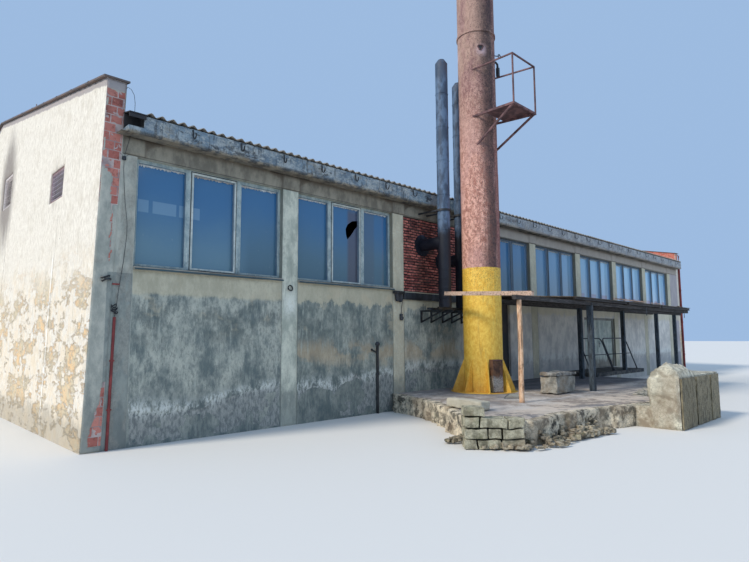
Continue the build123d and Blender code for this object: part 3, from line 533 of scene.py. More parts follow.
@paint
def gable_plaster(p, x, y, z):
    """Sunlit cream plaster: ochre and grey flaked places low down, a white seam and a crack, small
    dark pits, soot round the louvres, and a grey strip under the coping."""
    broad = p.grain(1.3, 6, 0.66, 1, 0.9)
    cloud = p.grain(0.42, 8, 0.74, 5, 1.2)
    fine = p.grain(0.05, 6, 0.74, 2, 2.4)
    streak = p.grain(0.13, 5, 0.6, 3, 6)
    p.base(fine.rise(0.36, 0.64), (214, 205, 190), (240, 233, 219))
    p.coat(cloud.rise(0.5, 0.66) * 0.55, (206, 196, 178))
    low = (z + (broad - 0.5) * 1.5).fall(2.6, 3.9)
    ragged = p.grain(0.3, 10, 0.8, 9, stretch=(1, 2.6, 1))
    flake = ragged * 0.65 + broad * 0.35
    p.coat(low * cloud.rise(0.42, 0.58) * 0.5, (236, 214, 180))
    ochre = flake.rise(0.505, 0.545) * low
    speckle = p.grain(0.035, 6, 0.85, 10)
    p.coat(ochre * 0.75, (240, 192, 126), (210, 194, 160), cloud.rise(0.42, 0.56))
    p.coat(speckle.rise(0.54, 0.6) * ochre * 0.4, (150, 138, 116))
    grey = ragged.rise(0.56, 0.57) * (0.12 + 0.88 * low)
    p.coat(grey * 0.3, (176, 170, 156))
    edge = flake.near(0.5, 0.008) * low
    p.coat(edge * 0.6, (255, 252, 245))
    p.coat(streak.rise(0.54, 0.68) * 0.3, (184, 174, 154))
    soot = 0.0
    for cy, cz, wide in ((8.0, 6.1, 1.45), (2.83, 5.2, 0.7)):
        away = ((y - cy) * (y - cy) + (z - cz) * (z - cz) * 0.3) ** 0.5
        ring = (away + streak * 0.8).fall(wide * 0.6, wide * 1.1)
        soot = ring * (0.7 if wide > 1 else 0.35) + soot
    p.coat(soot.held() * x.fall(9.0, 10.0), (92, 80, 78))
    wander = (p.grain(0.5, 4) - 0.5) * 0.12
    seam = (y + wander * 0.3).near(2.58, 0.045) * z.fall(3.5, 3.8)
    p.coat(seam * 0.9, (255, 253, 247))
    cracks = (y - 2.5 + wander).near(0.0, 0.012).most((y - 7.5 + wander * 2).near(0.0, 0.02))
    cracks = cracks * z.fall(4.6, 4.9)
    p.coat(cracks * 0.7, (104, 92, 80))
    foot = (z + (cloud - 0.5) * 1.2).fall(0.35, 0.75)
    p.coat(foot * 0.6, (160, 148, 126))
    pits = p.cells(0.21, feature="F1").rise(0.045, 0.07, 1.0, 0.0)
    pits = pits * p.grain(0.5, 3, seed=8).rise(0.53, 0.57)
    p.coat(pits, (66, 54, 48))
    ridge = y.least(DEPTH - y) * ROOF_SLOPE + PARAPET_EAVE_Z
    strip = (ridge - z + (cloud - 0.5) * 0.16).fall(0.13, 0.17)
    p.coat(strip * 0.8, (150, 141, 142))
    height = fine * 0.7 + cloud * 0.5 - pits * 0.8 - cracks * 0.4 - ochre * 0.5
    return p.finish(0.93, height, 0.02)


def joint_line(p, x):
    """The thin crack down both sides of every column, where it meets its panels."""
    place = (x / BAY + 0.5 + (p.grain(0.3, 4, seed=19) - 0.5) * 0.004).math("FRACT") - 0.5
    return (place * BAY).math("ABSOLUTE").near(COLUMN_HALF, 0.016) * x.rise(0.45, 0.5)


@paint
def facade_plaster(p, x, y, z):
    """Grey-green weathered render, drawn down in fine runs: cream under the sills, ochre low down,
    a pale worn line over the crumbled foot; beyond the stack it is calmer and lighter, and painted
    shade lies on the strip at the far corner."""
    broad = p.grain(1.0, 5, 0.62, 11, 0.8)
    cloud = p.grain(0.34, 7, 0.7, 12, 1.8)
    fine = p.grain(0.05, 6, 0.74, 13, 2.4)
    run = p.grain(0.075, 5, 0.64, 14, 7)
    p.base(cloud.rise(0.34, 0.66), (106, 117, 115), (188, 190, 176))
    p.coat(fine.rise(0.46, 0.64) * 0.6, (100, 108, 106))
    second = x.rise(3.6, 3.8) * x.fall(7.0, 7.4)
    p.coat(second * 0.3, (92, 104, 98))
    calm = x.rise(9.6, 10.4) * y.fall(9.0, 10.0)
    p.coat(calm * 0.9, (194, 190, 184), (226, 220, 210), cloud.rise(0.36, 0.62))
    # Painted shade: the strip of wall beside the far end pilaster, in mauve-grey.
    corner = x.rise(28.95, 29.05) * y.fall(9.0, 10.0)
    p.coat(corner * 0.7, (150, 142, 150))
    ragged = z + (cloud - 0.5) * 0.7 + (run - 0.5) * 0.5
    band = ragged.rise(1.7, 2.05) * ragged.fall(2.35, 2.75)
    dark = band * broad.rise(0.44, 0.56) * (1 - calm)
    p.coat(dark * 0.55, (84, 94, 92))
    ochre = ragged.near(1.55, 0.45) * broad.rise(0.42, 0.52) * (1 - calm) * x.rise(3.6, 3.8)
    p.coat(ochre * 0.5, (196, 170, 134))
    pale = run.rise(0.54, 0.66) * fine.rise(0.36, 0.5)
    p.coat(pale * 0.4, (196, 200, 186))
    wander = (cloud - 0.5) * (x.rise(3.6, 3.8) * 0.7 + 0.2)
    under_sill = (z + wander).rise(2.72, 2.8) * z.fall(3.25, 3.3)
    p.coat(under_sill * y.fall(9.0, 10.0) * 0.6, (204, 194, 164))
    cream = broad.rise(0.55, 0.62) * z.rise(1.9, 2.2) * (1 - calm)
    p.coat(cream * 0.45, (196, 184, 156))
    low_dark = ragged.fall(0.75, 1.35)
    p.coat(low_dark * calm * 0.45, (118, 124, 132))
    p.coat(low_dark * x.fall(7.2, 7.6) * 0.35, (72, 84, 88))
    foot = p.value("bare").rise(0.62, 0.9) * (1 - calm * 0.75)
    p.coat(foot * 0.9, (106, 112, 112), (160, 162, 156), fine.rise(0.38, 0.62))
    edge = p.value("edge") * fine.rise(0.42, 0.54) * cloud.rise(0.42, 0.54)
    p.coat(edge * 0.9, (214, 218, 212))
    p.coat(joint_line(p, x) * 0.6, (70, 72, 68))
    height = fine * 0.6 + cloud * 0.4 + run * 0.2
    return p.finish(0.92, height, 0.018)


@paint
def column_render(p, x, y, z):
    """Pale grey-green render on the columns, flat grey-brown on the ring beam with painted shade on
    the flanks of its column heads, along its top under the eaves and along the window heads, and a
    mauve-grey band on the gable's end."""
    cloud = p.grain(0.3, 7, 0.7, 21, 2.0)
    fine = p.grain(0.04, 6, 0.76, 23, 1.6)
    run = p.grain(0.07, 5, 0.62, 22, 7)
    p.base(cloud.rise(0.36, 0.62), (166, 172, 158), (212, 214, 196))
    p.coat(fine.rise(0.5, 0.7) * 0.5, (134, 138, 130))
    p.coat(run.rise(0.54, 0.68) * 0.4, (128, 132, 124))
    first = x.fall(0.2, 0.5) * y.fall(1.0, 2.0)
    p.coat(first * 0.75, (150, 152, 144), (182, 180, 168), cloud.rise(0.36, 0.64))
    patch = x.rise(-0.36, -0.345) * x.fall(0.09, 0.1) * z.fall(3.12, 3.13)
    p.coat(patch * 0.7, (100, 110, 110), (128, 138, 134), cloud.rise())
    cream = x.rise(6.8, 6.9) * y.fall(9.0, 10.0) * (0.4 + fine.rise(0.4, 0.56) * 0.6)
    p.coat(cream * 0.7, (196, 182, 152))
    white = x.near(3.6, 0.3) * (z + cloud * 0.5).near(2.95, 0.5) * fine.rise(0.36, 0.54)
    p.coat(white * 0.8, (232, 236, 226))
    foot = (z + (cloud - 0.5) * 1.4).fall(0.5, 1.1)
    p.coat(foot * 0.55, (112, 118, 116))
    p.coat(joint_line(p, x) * 0.6, (74, 76, 72))
    beam = z.rise(HEAD_Z - 0.01, HEAD_Z + 0.01) * x.rise(-0.2, -0.15)
    p.coat(beam, (114, 110, 99), (148, 143, 128), cloud.rise(0.38, 0.62))
    far = x.rise(9.5, 12.0) * y.fall(9.0, 10.0)
    p.coat(beam * far * 0.65, (184, 174, 164))
    # Painted shade on the curved flanks of the column heads.
    flank = p.value("flank") * beam * (1 - far * 0.6)
    p.coat(flank * 0.6, (66, 54, 44))
    # Painted shade: the top of the ring beam is darker under the eaves.
    p.coat(z.rise(5.55, 5.68) * beam * 0.6, (88, 76, 62))
    # Painted shade: a dark line along the window heads.
    p.coat(z.near(HEAD_Z + 0.012, 0.02) * beam * 0.7, (52, 50, 46))
    p.coat(p.value("bare") * 0.35, (126, 122, 114), (170, 166, 154), fine.rise())
    strip = (z + (cloud - 0.5) * 0.16).rise(6.48, 6.52) * x.fall(-0.2, -0.1)
    p.coat(strip * 0.7, (150, 141, 146))
    return p.finish(0.9, fine * 0.7 + cloud * 0.4, 0.015)


@paint
def cornice_concrete(p, x, y, z):
    """The eaves: pale blue-grey, mottled, with black damp runs and a dark lower edge, and painted shade
    on the underside; the broken corner is painted black inside for the shade in its hollow."""
    cloud = p.grain(0.2, 7, 0.74, 31, stretch=(1.6, 1, 1))
    broad = p.grain(0.9, 5, 0.6, 32, stretch=(1.5, 1, 1))
    fine = p.grain(0.03, 6, 0.76, 33)
    run = p.grain(0.06, 4, 0.6, 34, 6)
    p.base(cloud.rise(), (112, 128, 140), (176, 184, 184))
    p.coat(broad.rise(0.48, 0.6) * 0.5, (132, 156, 172))
    p.coat(fine.rise(0.5, 0.66) * 0.6, (78, 84, 88))
    p.coat(run.rise(0.53, 0.64) * 0.6, (62, 66, 70))
    flakes = p.grain(0.09, 7, 0.8, 35, stretch=(1.4, 1, 1)).rise(0.55, 0.58)
    p.coat(flakes * 0.55, (208, 210, 202))
    black = p.grain(0.24, 7, 0.78, 36, stretch=(2.0, 1, 1)).rise(0.57, 0.61)
    p.coat(black * 0.75, (48, 48, 50))
    low = z.fall(SOFFIT_Z + 0.015, SOFFIT_Z + 0.09)
    p.coat(low * 0.75, (64, 58, 50), (140, 122, 92), cloud.rise(0.46, 0.54))
    # Painted shade: the underside of the eaves is darker.
    soffit_shade = z.fall(SOFFIT_Z - 0.004, SOFFIT_Z + 0.004)
    p.coat(soffit_shade * 0.8, (86, 80, 72), (136, 128, 114), cloud.rise())
    p.coat(p.value("bare") * 0.4, (150, 146, 134))
    p.coat(x.rise(10.0, 14.0) * (1 - soffit_shade) * 0.35, (186, 176, 172))
    # Painted shade: the inside of the broken corner is black.
    hollow = x.fall(0.0955, 0.0975) * z.rise(5.805, 5.812)
    p.coat(hollow * 0.96, (30, 28, 26))
    return p.finish(0.93, fine + cloud * 0.8 + flakes * 0.2, 0.02)


def fibre_cement():
    """Weathered corrugated sheet: lichen and moss, painted shade in the valleys, and ragged ends at the
    laps with a painted highlight on the crests and painted shade in the valleys.
    """
    p = Paint("fibre_cement")
    broad = p.grain(1.3, 6, 0.6, 41)
    cloud = p.grain(0.16, 6, 0.72, 42)
    fine = p.grain(0.012, 4, 0.7, 43)
    p.base(broad.rise(0.4, 0.62), (150, 146, 138), (190, 186, 176))
    p.coat(cloud.rise(0.52, 0.62) * 0.7, (92, 90, 86))
    lichen = p.grain(0.09, 7, 0.8, 44).rise(0.6, 0.64)
    p.coat(lichen * 0.7, (200, 198, 184))
    moss = p.grain(0.5, 6, 0.7, 45).rise(0.6, 0.68) * p.value("valley")
    p.coat(moss * 0.5, (84, 84, 54))
    # Painted shade in the valleys of the corrugation.
    p.coat(p.value("valley") * 0.75, (50, 46, 42))
    # The sheet ends: a painted highlight on the crests and painted shade in the valleys.
    p.coat(p.value("rim") * 0.85, (176, 168, 156), (40, 34, 30), p.value("valley"))
    return p.finish(0.95, fine + cloud * 0.6, 0.006)


def raw_brick(name, light, deep):
    """Fired brick: each one its own tone, pitted, with mortar smears at its edges."""
    p = Paint(name)
    shade = p.value("shade")
    fine = p.grain(0.012, 5, 0.7, 51)
    cloud = p.grain(0.08, 5, 0.65, 52)
    p.base(shade, light, deep)
    p.coat(cloud.rise(0.5, 0.66) * 0.5, (94, 52, 42))
    smear = p.grain(0.05, 6, 0.75, 53, stretch=(1.6, 1, 1)).rise(0.6, 0.66)
    p.coat(smear * 0.55, (188, 168, 148))
    soot = p.grain(0.9, 4, 0.6, 54).rise(0.52, 0.66)
    p.coat(soot * 0.55, (58, 44, 40))
    return p.finish(0.92, fine + cloud * 0.5, 0.004)


def mortar(name, deep, light):
    """Mortar and raw wall behind the bricks, sandy, with soot."""
    p = Paint(name)
    fine = p.grain(0.01, 5, 0.7, 56)
    cloud = p.grain(0.25, 5, 0.65, 57)
    p.base(cloud.rise(), deep, light)
    return p.finish(0.95, fine, 0.004)


@paint
def stack_steel(p, x, y, z):
    """Mauve-brown rust over an old coat with a dark soot run mixed with painted shade down the side away
    from the sun, as the camera sees it, and painted reddish light on the far edge; yellow paint below a
    level line, stained under it."""
    fine = p.grain(0.018, 6, 0.78, 61)
    scab = p.grain(0.09, 8, 0.78, 62, 1.4)
    broad = p.grain(0.7, 6, 0.64, 63, 2.4)
    run = p.grain(0.07, 5, 0.6, 64, 9)
    # turn runs across the stack as the camera sees it, from -1 to 1 between its outlines.
    turn = ((x - STACK[0]) * 0.717 - (y - STACK[1]) * 0.697) / STACK_R
    p.base(scab.rise(), (168, 114, 100), (234, 182, 164))
    p.coat(broad.rise(0.46, 0.6) * 0.5, (206, 160, 152))
    up = z.rise(6.0, 10.0)
    p.coat(up * 0.6, (108, 92, 98), (158, 138, 122), broad.rise(0.42, 0.58))
    # Rust specks, denser towards the shaded side: partly painted shade.
    speck = (p.grain(0.03, 6, 0.85, 65) + turn * 0.05).rise(0.53, 0.57)
    p.coat(speck * 0.8, (58, 46, 52))
    # A soot run mixed with painted shade down the side away from the sun.
    across = turn + (broad - 0.5) * 0.7 + (run - 0.5) * 0.4
    soot_run_and_shade = across.rise(-0.2, 0.35) * across.fall(0.6, 0.85)
    soot_run_and_shade = soot_run_and_shade * (0.45 + 0.55 * scab.rise(0.36, 0.56))
    p.coat(soot_run_and_shade * 0.82, (56, 44, 48))
    # Painted light: a reddish strip on the right-hand edge as the camera sees it.
    red = turn.rise(0.62, 0.82) * (1 - z.rise(6.0, 9.0) * 0.6)
    p.coat(red * 0.5, (160, 92, 84))
    lime = p.grain(0.06, 7, 0.8, 66, 1.5).rise(0.62, 0.66)
    p.coat(lime * 0.5, (200, 176, 142))
    port = (x - 8.78).near(0.0, 0.17) * (z - 10.0).near(0.0, 0.24) * scab.rise(0.38, 0.46)
    p.coat(port * 0.85, (222, 192, 196))
    rust = p.colour
    p.base(scab.rise(0.35, 0.65), (228, 172, 56), (252, 212, 96))
    p.coat(run.rise(0.58, 0.7) * 0.35, (168, 128, 66))
    spots = p.grain(0.03, 6, 0.85, 67)
    spots = (spots + z.rise(2.4, 3.9) * 0.07).rise(0.6, 0.63) * z.rise(1.6, 3.2)
    p.coat(spots * 0.75, (104, 66, 40))
    p.coat(z.fall(0.5, 1.6) * broad.rise(0.4, 0.56) * 0.5, (176, 124, 58))
    line = (z + (scab - 0.5) * 0.05).rise(3.815, 3.83)
    p.base(line, p.colour, rust)
    rough = line * 0.3 + 0.55 + (fine - 0.5) * 0.2
    height = fine * 0.5 + speck * 0.5 * line + scab * 0.5
    return p.finish(rough, height, 0.012)


@paint
def flue_steel(p, x, y, z):
    """Dull dark blue sheet on the flues, soot black on the lower lengths."""
    cloud = p.grain(0.16, 6, 0.68, 76, 2.5)
    fine = p.grain(0.014, 5, 0.7, 77)
    p.base(cloud.rise(), (56, 72, 92), (88, 110, 136))
    chips = p.grain(0.05, 7, 0.8, 78, 2).rise(0.6, 0.64)
    p.coat(chips * 0.6, (44, 44, 50))
    low = (z + (cloud - 0.5) * 0.5).fall(4.7, 5.2)
    p.coat(low * 0.96, (2, 8, 26))
    cap = z.rise(9.1, 9.6) * cloud.rise(0.42, 0.56)
    p.coat(cap * 0.6, (58, 44, 44))
    return p.finish((fine - 0.5) * 0.2 + 0.62, fine + chips, 0.003)


@paint
def pipe_paint(p, x, y, z):
    """Dull red paint on the downpipe and the conductor's guard, soot black on the stub pipe."""
    fine = p.grain(0.015, 5, 0.7, 79)
    cloud = p.grain(0.18, 5, 0.65, 80, 2)
    p.base(cloud.rise(0.42, 0.62), (112, 44, 44), (144, 62, 58))
    stub = x.rise(5.0, 5.5) * x.fall(7.0, 7.5)
    p.coat(stub, (26, 28, 30), (54, 54, 54), cloud.rise(0.42, 0.62))
    return p.finish((fine - 0.5) * 0.3 + 0.6, fine, 0.003)


@paint
def soot_door_paint(p, x, y, z):
    """The soot door: dark rust above, a whitish scraped field below."""
    cloud = p.grain(0.14, 7, 0.76, 97)
    fine = p.grain(0.02, 6, 0.76, 98)
    p.base(cloud.rise(), (70, 52, 44), (110, 80, 60))
    low = (z + (cloud - 0.5) * 0.5).fall(0.82, 0.94)
    p.coat(low * 0.8, (120, 118, 114), (190, 188, 182), fine.rise(0.42, 0.58))
    return p.finish(0.85, fine + cloud * 0.5, 0.006)


@paint
def louvre_metal(p, x, y, z):
    """Mauve-grey slats in a reddish-brown frame on the near louvre, whitish ones on the other."""
    fine = p.grain(0.03, 6, 0.76, 106)
    p.base(fine.rise(), (172, 160, 172), (230, 222, 228))
    across, tall = (y - 2.825).math("ABSOLUTE"), (z - 5.25).math("ABSOLUTE")
    frame = across.rise(0.47, 0.48).most(tall.rise(0.295, 0.305)) * y.fall(4.0, 5.0)
    p.coat(frame * 0.85, (112, 74, 68))
    far = y.rise(4.0, 5.0)
    p.coat(far * 0.7, (196, 184, 178), (250, 244, 236), fine.rise())
    return p.finish(0.8, fine, 0.004)


@paint
def landing_paint(p, x, y, z):
    """The landing: a dark sheet deck on a pale rough block."""
    cloud = p.grain(0.2, 7, 0.72, 107)
    fine = p.grain(0.02, 5, 0.72, 108)
    pale = p.mix(cloud.rise(), (128, 128, 124), (186, 182, 172))
    dark = p.mix(cloud.rise(), (48, 50, 54), (88, 86, 82))
    p.base(z.rise(0.455, 0.47), pale, dark)
    return p.finish(0.88, fine + cloud, 0.008)


def black_steel(name, base, worn, gloss=0.5):
    """Old dark paint on steel, with dust on it and rust at the chips."""
    p = Paint(name)
    fine = p.grain(0.015, 5, 0.7, 71)
    cloud = p.grain(0.18, 5, 0.65, 72, 2)
    p.base(cloud.rise(0.42, 0.62), base, worn)
    chips = p.grain(0.06, 7, 0.8, 73).rise(0.62, 0.65)
    p.coat(chips * 0.8, (108, 62, 40))
    return p.finish((fine - 0.5) * 0.3 + gloss, fine + chips, 0.003)


def old_wood(name, pale, deep, along=(14, 1, 1), seed=81.0):
    """Weathered boards: long grain, dark cracks, each board its own tone."""
    p = Paint(name)
    grain = p.grain(0.012, 6, 0.65, seed, stretch=along)
    bands = p.grain(0.05, 4, 0.6, seed + 1, stretch=tuple(a * 0.8 for a in along))
    tone = p.value("shade")
    p.base(grain.rise(0.38, 0.62), deep, pale)
    p.coat(tone * 0.5, deep)
    cracks = bands.rise(0.56, 0.6)
    p.coat(cracks * 0.6, (34, 28, 24))
    mould = p.grain(0.3, 6, 0.7, seed + 2).rise(0.55, 0.66)
    p.coat(mould * 0.5, (52, 48, 44))
    return p.finish(0.88, grain + bands * 0.8 - cracks * 0.5, 0.006)


def window_paint(name, deep, pale):
    """Worn pale paint on the window timber. The faces set back into the openings carry a painted
    reflection of the blue sky; along the far bays the front faces of the posts are darker and the
    painted sky reflection on their sides is paler."""
    p = Paint(name)
    x, y, z = p.axes()
    grain = p.grain(0.01, 5, 0.65, 91, 16)
    cloud = p.grain(0.14, 6, 0.7, 92, 2)
    p.base(cloud.rise(), deep, pale)
    worn = p.grain(0.05, 7, 0.78, 93, 4).rise(0.57, 0.61)
    p.coat(worn * 0.6, (210, 214, 204))
    dirt = p.grain(0.16, 6, 0.74, 94).rise(0.57, 0.64)
    p.coat(dirt * 0.45, (92, 98, 96))
    low = z.fall(3.2, 3.36)
    p.coat(low * 0.5, (84, 100, 104))
    front = y.fall(9.0, 10.0)
    # Painted reflection: the faces set back into the openings take the blue of the sky.
    side = y.rise(0.114, 0.124) * front
    p.coat(side * 0.7, (68, 104, 136))
    # Along the far bays: darker front faces, and a paler painted sky reflection on the sides.
    far = x.rise(9.5, 11.5) * front
    p.coat(far * 0.85, (72, 88, 106), (150, 186, 216), side)
    return p.finish(0.8, grain + worn * 0.3, 0.003)


@paint
def pane_glass(p, x, y, z):
    """Old panes painted with a reflection of the blue sky: deeper high up, dusty and paler low down,
    paler along the far bays, where a reddish band lies low; pale rectangles in the first bay are painted
    light of the opposite windows seen through the hall; one pane of the second bay is sooty."""
    broad = p.grain(1.2, 4, 0.55, 101)
    dust = p.grain(0.1, 6, 0.75, 102, 1.6)
    # The panes' colour is a painted reflection of the sky: deeper blue high up, paler low down.
    low = (z + (broad - 0.5) * 0.8).fall(3.3, 5.0)
    p.base(low, (60, 108, 150), (102, 134, 148))
    p.coat(low * x.rise(2.3, 2.7) * 0.6, (56, 84, 98))
    # Painted light: the bright opposite windows seen through the hall in the first bay.
    for left, right in ((0.2, 0.42), (0.48, 0.97), (1.01, 1.47)):
        pane = x.rise(left, left + 0.02) * x.fall(right - 0.02, right)
        pane = pane * z.rise(4.33, 4.35) * z.fall(4.57, 4.59) * y.fall(9.0, 10.0)
        p.coat(pane * 0.4, (140, 172, 192))
    # Painted reflection: the far bays' panes are paler, as the sky shows at a grazing view.
    far = x.rise(11.0, 24.0)
    pale = p.mix(low, (176, 220, 246), (206, 224, 240))
    band = z.fall(3.72, 3.78) * x.rise(17.8, 18.2) * (x * 0.9).math("FRACT").rise(0.3, 0.34)
    pale = p.mix(band * 0.6, pale, (206, 150, 156))
    p.coat(far * 0.9, pale)
    sooty = x.rise(5.45, 5.56) * x.fall(5.9, 5.92) * z.fall(5.1, 5.3)
    p.coat(sooty * broad.rise(0.3, 0.5) * 0.75, (84, 76, 84))
    side = x.rise(6.02, 6.04) * x.fall(6.4, 6.5)
    p.coat(side * 0.4, (84, 90, 96))
    film = dust.rise(0.58, 0.72) * (0.2 + 0.8 * low)
    p.coat(film.held() * 0.25, (160, 172, 172))
    rough = film * 0.35 + 0.07
    coat = {"Coat Weight": 0.5, "Coat Roughness": 0.05}
    return p.finish(rough.held(), broad * 0.4 + dust * 0.02, 0.01, coat)


def sheet_metal(name, base, rust, amount):
    """Painted thin sheet, faded, with rust that spreads from its edges."""
    p = Paint(name)
    cloud = p.grain(0.5, 6, 0.65, 111)
    fine = p.grain(0.03, 6, 0.75, 112)
    p.base(cloud.rise(0.4, 0.64) * amount, base, rust)
    p.coat(fine.rise(0.6, 0.66) * 0.5, (58, 44, 38))
    return p.finish((fine - 0.5) * 0.3 + 0.62, cloud + fine * 0.2, 0.008)


@paint
def door_paint(p, x, y, z):
    """Pale grey-green door sheet, scraped and rusty low down."""
    cloud = p.grain(0.3, 6, 0.66, 121, 2)
    fine = p.grain(0.02, 6, 0.75, 122)
    p.base(cloud.rise(0.4, 0.62), (158, 168, 160), (196, 202, 190))
    scrape = p.grain(0.1, 7, 0.8, 123, 3).rise(0.57, 0.61)
    p.coat(scrape * 0.6, (110, 106, 96))
    foot = (z + (cloud - 0.5) * 0.9).fall(0.8, 1.15)
    p.coat(foot * 0.65, (104, 84, 68))
    return p.finish((fine - 0.5) * 0.2 + 0.6, fine * 0.5 + scrape * 0.4, 0.004)


def rough_stone(name, pale, deep, moss=0.2):
    """Rough concrete or stone: sandy faces, dark hollows, a little moss."""
    p = Paint(name)
    cloud = p.grain(0.2, 7, 0.72, 131)
    fine = p.grain(0.018, 5, 0.72, 132)
    broad = p.grain(0.9, 4, 0.6, 133)
    p.base(cloud.rise(), deep, pale)
    p.coat(broad.rise(0.5, 0.62) * 0.5, (150, 128, 104))
    hollow = p.cells(0.07).rise(0.0, 0.08, 1.0, 0.0) * cloud.rise(0.5, 0.6)
    p.coat(hollow * 0.5, (56, 52, 46))
    green = p.grain(0.3, 6, 0.7, 134).rise(0.56, 0.64)
    p.coat(green * moss, (94, 98, 62))
    p.coat(p.value("shade") * 0.25, (206, 198, 176))
    return p.finish(0.95, fine + cloud * 1.2 - hollow * 0.4, 0.02)


@paint
def platform_top(p, x, y, z):
    """The worn top of the loading platform: pale dusty asphalt with grey bald places and a painted
    bluish shadow under the canopy; its sides are dark broken rubble."""
    cloud = p.grain(0.6, 7, 0.7, 141)
    grit = p.grain(0.02, 5, 0.8, 142)
    broad = p.grain(2.0, 4, 0.6, 143)
    p.base(cloud.rise(0.42, 0.6), (154, 142, 132), (204, 196, 188))
    p.coat(broad.rise(0.46, 0.6) * 0.7, (124, 124, 128))
    p.coat(grit.rise(0.56, 0.66) * 0.6, (84, 78, 74))
    sandy = (1 - (y + (cloud - 0.5)).rise(-4.4, -3.8)) * cloud.rise(0.42, 0.5)
    p.coat(sandy * 0.6, (222, 204, 184))
    # Painted shadow of the canopy: bluish grey on the platform under it.
    back = (y + (cloud - 0.5) * 0.8).rise(-3.3, -2.9) * x.rise(9.8, 10.4)
    p.coat(back * 0.75, (80, 86, 98))
    side = z.fall(0.3, 0.42)
    p.coat(side * 0.85, (84, 80, 78), (176, 166, 152), cloud.rise(0.42, 0.58))
    return p.finish(0.96, grit + cloud * 0.8, 0.02)


def plain_concrete():
    """Inner floor, beams and other concrete that lies out of the weather."""
    p = Paint("plain_concrete")
    cloud = p.grain(0.7, 6, 0.62, 151)
    fine = p.grain(0.03, 5, 0.7, 152)
    p.base(cloud.rise(), (132, 128, 118), (170, 164, 150))
    return p.finish(0.9, fine + cloud * 0.5, 0.008)


GABLE = gable_plaster()
FACADE = facade_plaster()
COLUMN = column_render()
CORNICE = cornice_concrete()
SHEETS = fibre_cement()
BRICK = raw_brick("fired_brick", (230, 138, 122), (136, 70, 67))
PALE_BRICK = raw_brick("hollow_brick", (206, 138, 124), (168, 100, 90))
# A lighter copy of the brick: painted sunlight on the far parapet.
SUNNY_BRICK = raw_brick("parapet_brick", (232, 136, 116), (204, 106, 88))
MORTAR = mortar("mortar", (34, 28, 30), (74, 62, 58))
PALE_MORTAR = mortar("pale_mortar", (154, 136, 134), (190, 174, 168))
STACK_COAT = stack_steel()
FLUE_COAT = flue_steel()
SOOT_DOOR = soot_door_paint()
BLACK = black_steel("black_steel", (28, 30, 34), (56, 60, 66), 0.5)
RUSTY = black_steel("rusty_steel", (86, 64, 66), (122, 90, 90), 0.8)
PIPES = pipe_paint()
RED = black_steel("red_pipe", (112, 44, 44), (144, 62, 58), 0.6)
LOUVRE_METAL = louvre_metal()
BOARDS = old_wood("canopy_wood", (132, 122, 110), (62, 56, 50))
BEAMS = old_wood("beam_wood", (84, 80, 78), (34, 32, 34), (14, 1, 1), 84.0)
POSTS = old_wood("post_wood", (78, 90, 100), (32, 38, 44), (1, 1, 14), 86.0)
PEACH = old_wood("peach_wood", (238, 204, 170), (190, 140, 104), (1, 1, 14), 88.0)
PALE_BEAM = old_wood("pale_beam", (222, 196, 176), (168, 132, 110), (14, 1, 1), 90.0)
PLANK = old_wood("dock_wood", (176, 164, 136), (90, 82, 63), (1, 1, 14), 92.0)
TIMBER = window_paint("window_paint", (138, 156, 160), (172, 186, 184))
SASH = window_paint("sash_paint", (170, 182, 180), (206, 212, 204))
GLASS = pane_glass()
COPING = sheet_metal("coping_sheet", (92, 84, 82), (120, 92, 76), 0.6)
# Dark sheet: real on the sheeted doorway, painted shade on the sash gaps and the eaves' hollow boards.
DARK_SHEET_AND_SHADE = sheet_metal("dark_sheet_and_painted_shade", (38, 40, 44), (78, 62, 52), 0.5)
FRAME_SHEET = sheet_metal("door_frame_sheet", (132, 134, 128), (92, 80, 68), 0.6)
DOOR_COAT = door_paint()
LANDING = landing_paint()
STONE = rough_stone("pier_stone", (192, 186, 160), (112, 108, 90), 0.35)
BLOCK = rough_stone("rough_block", (228, 222, 200), (150, 144, 128), 0.1)
PLINTH = rough_stone("plinth_concrete", (166, 164, 158), (96, 96, 94), 0.2)
RUBBLE = rough_stone("platform_rubble", (244, 228, 200), (62, 57, 50), 0.2)
BANK = rough_stone("mossy_rubble", (196, 182, 156), (78, 72, 60), 0.5)
TOP = platform_top()
CONCRETE = plain_concrete()
PUTTY = rough_stone("window_putty", (226, 228, 224), (178, 182, 180), 0.0)
SILL_SHEET = sheet_metal("sill_sheet", (58, 84, 92), (50, 56, 58), 0.6)


# The parts that carry only a material
DRESS = (
    (GABLE, "near_gable_wall far_gable_wall"),
    (LOUVRE_METAL, "louvres"),
    (COPING, "gable_copings"),
    (COLUMN, "columns ring_beams"),
    (FACADE, "front_panels back_panels door_bay_wall door_side_pier"),
    (MORTAR, "brick_infill"),
    (CORNICE, "cornices"),
    (CONCRETE, "window_sills roof_beams floor_slab"),
    (TIMBER, "window_frames"),
    (GLASS, "window_glazing"),
    (DARK_SHEET_AND_SHADE, "sheeted_doorway"),
    (SHEETS, "ridge_cap front_roof back_roof"),
    (FRAME_SHEET, "door_frame"),
    (DOOR_COAT, "door_leaf_left door_leaf_right"),
    (STACK_COAT, "stack_shell stack_base"),
    (SOOT_DOOR, "soot_door"),
    (RUSTY, "test_platform test_rail"),
    (FLUE_COAT, "flues flue_ducts"),
    (BLACK, "wall_steelwork landing_rails"),
    (PIPES, "wall_pipes"),
    (TOP, "loading_platform"),
    (PLINTH, "concrete_blocks"),
    (LANDING, "landing_deck"),
    (BEAMS, "canopy_frame"),
    (PEACH, "timber_post"),
    (POSTS, "steel_posts"),
    (PALE_BEAM, "loose_rafter"),
    (BLOCK, "dock_block"),
    (PLANK, "dock_timbers"),
    (BOARDS, "canopy_roof"),
    (STONE, "stone_pier"),
)
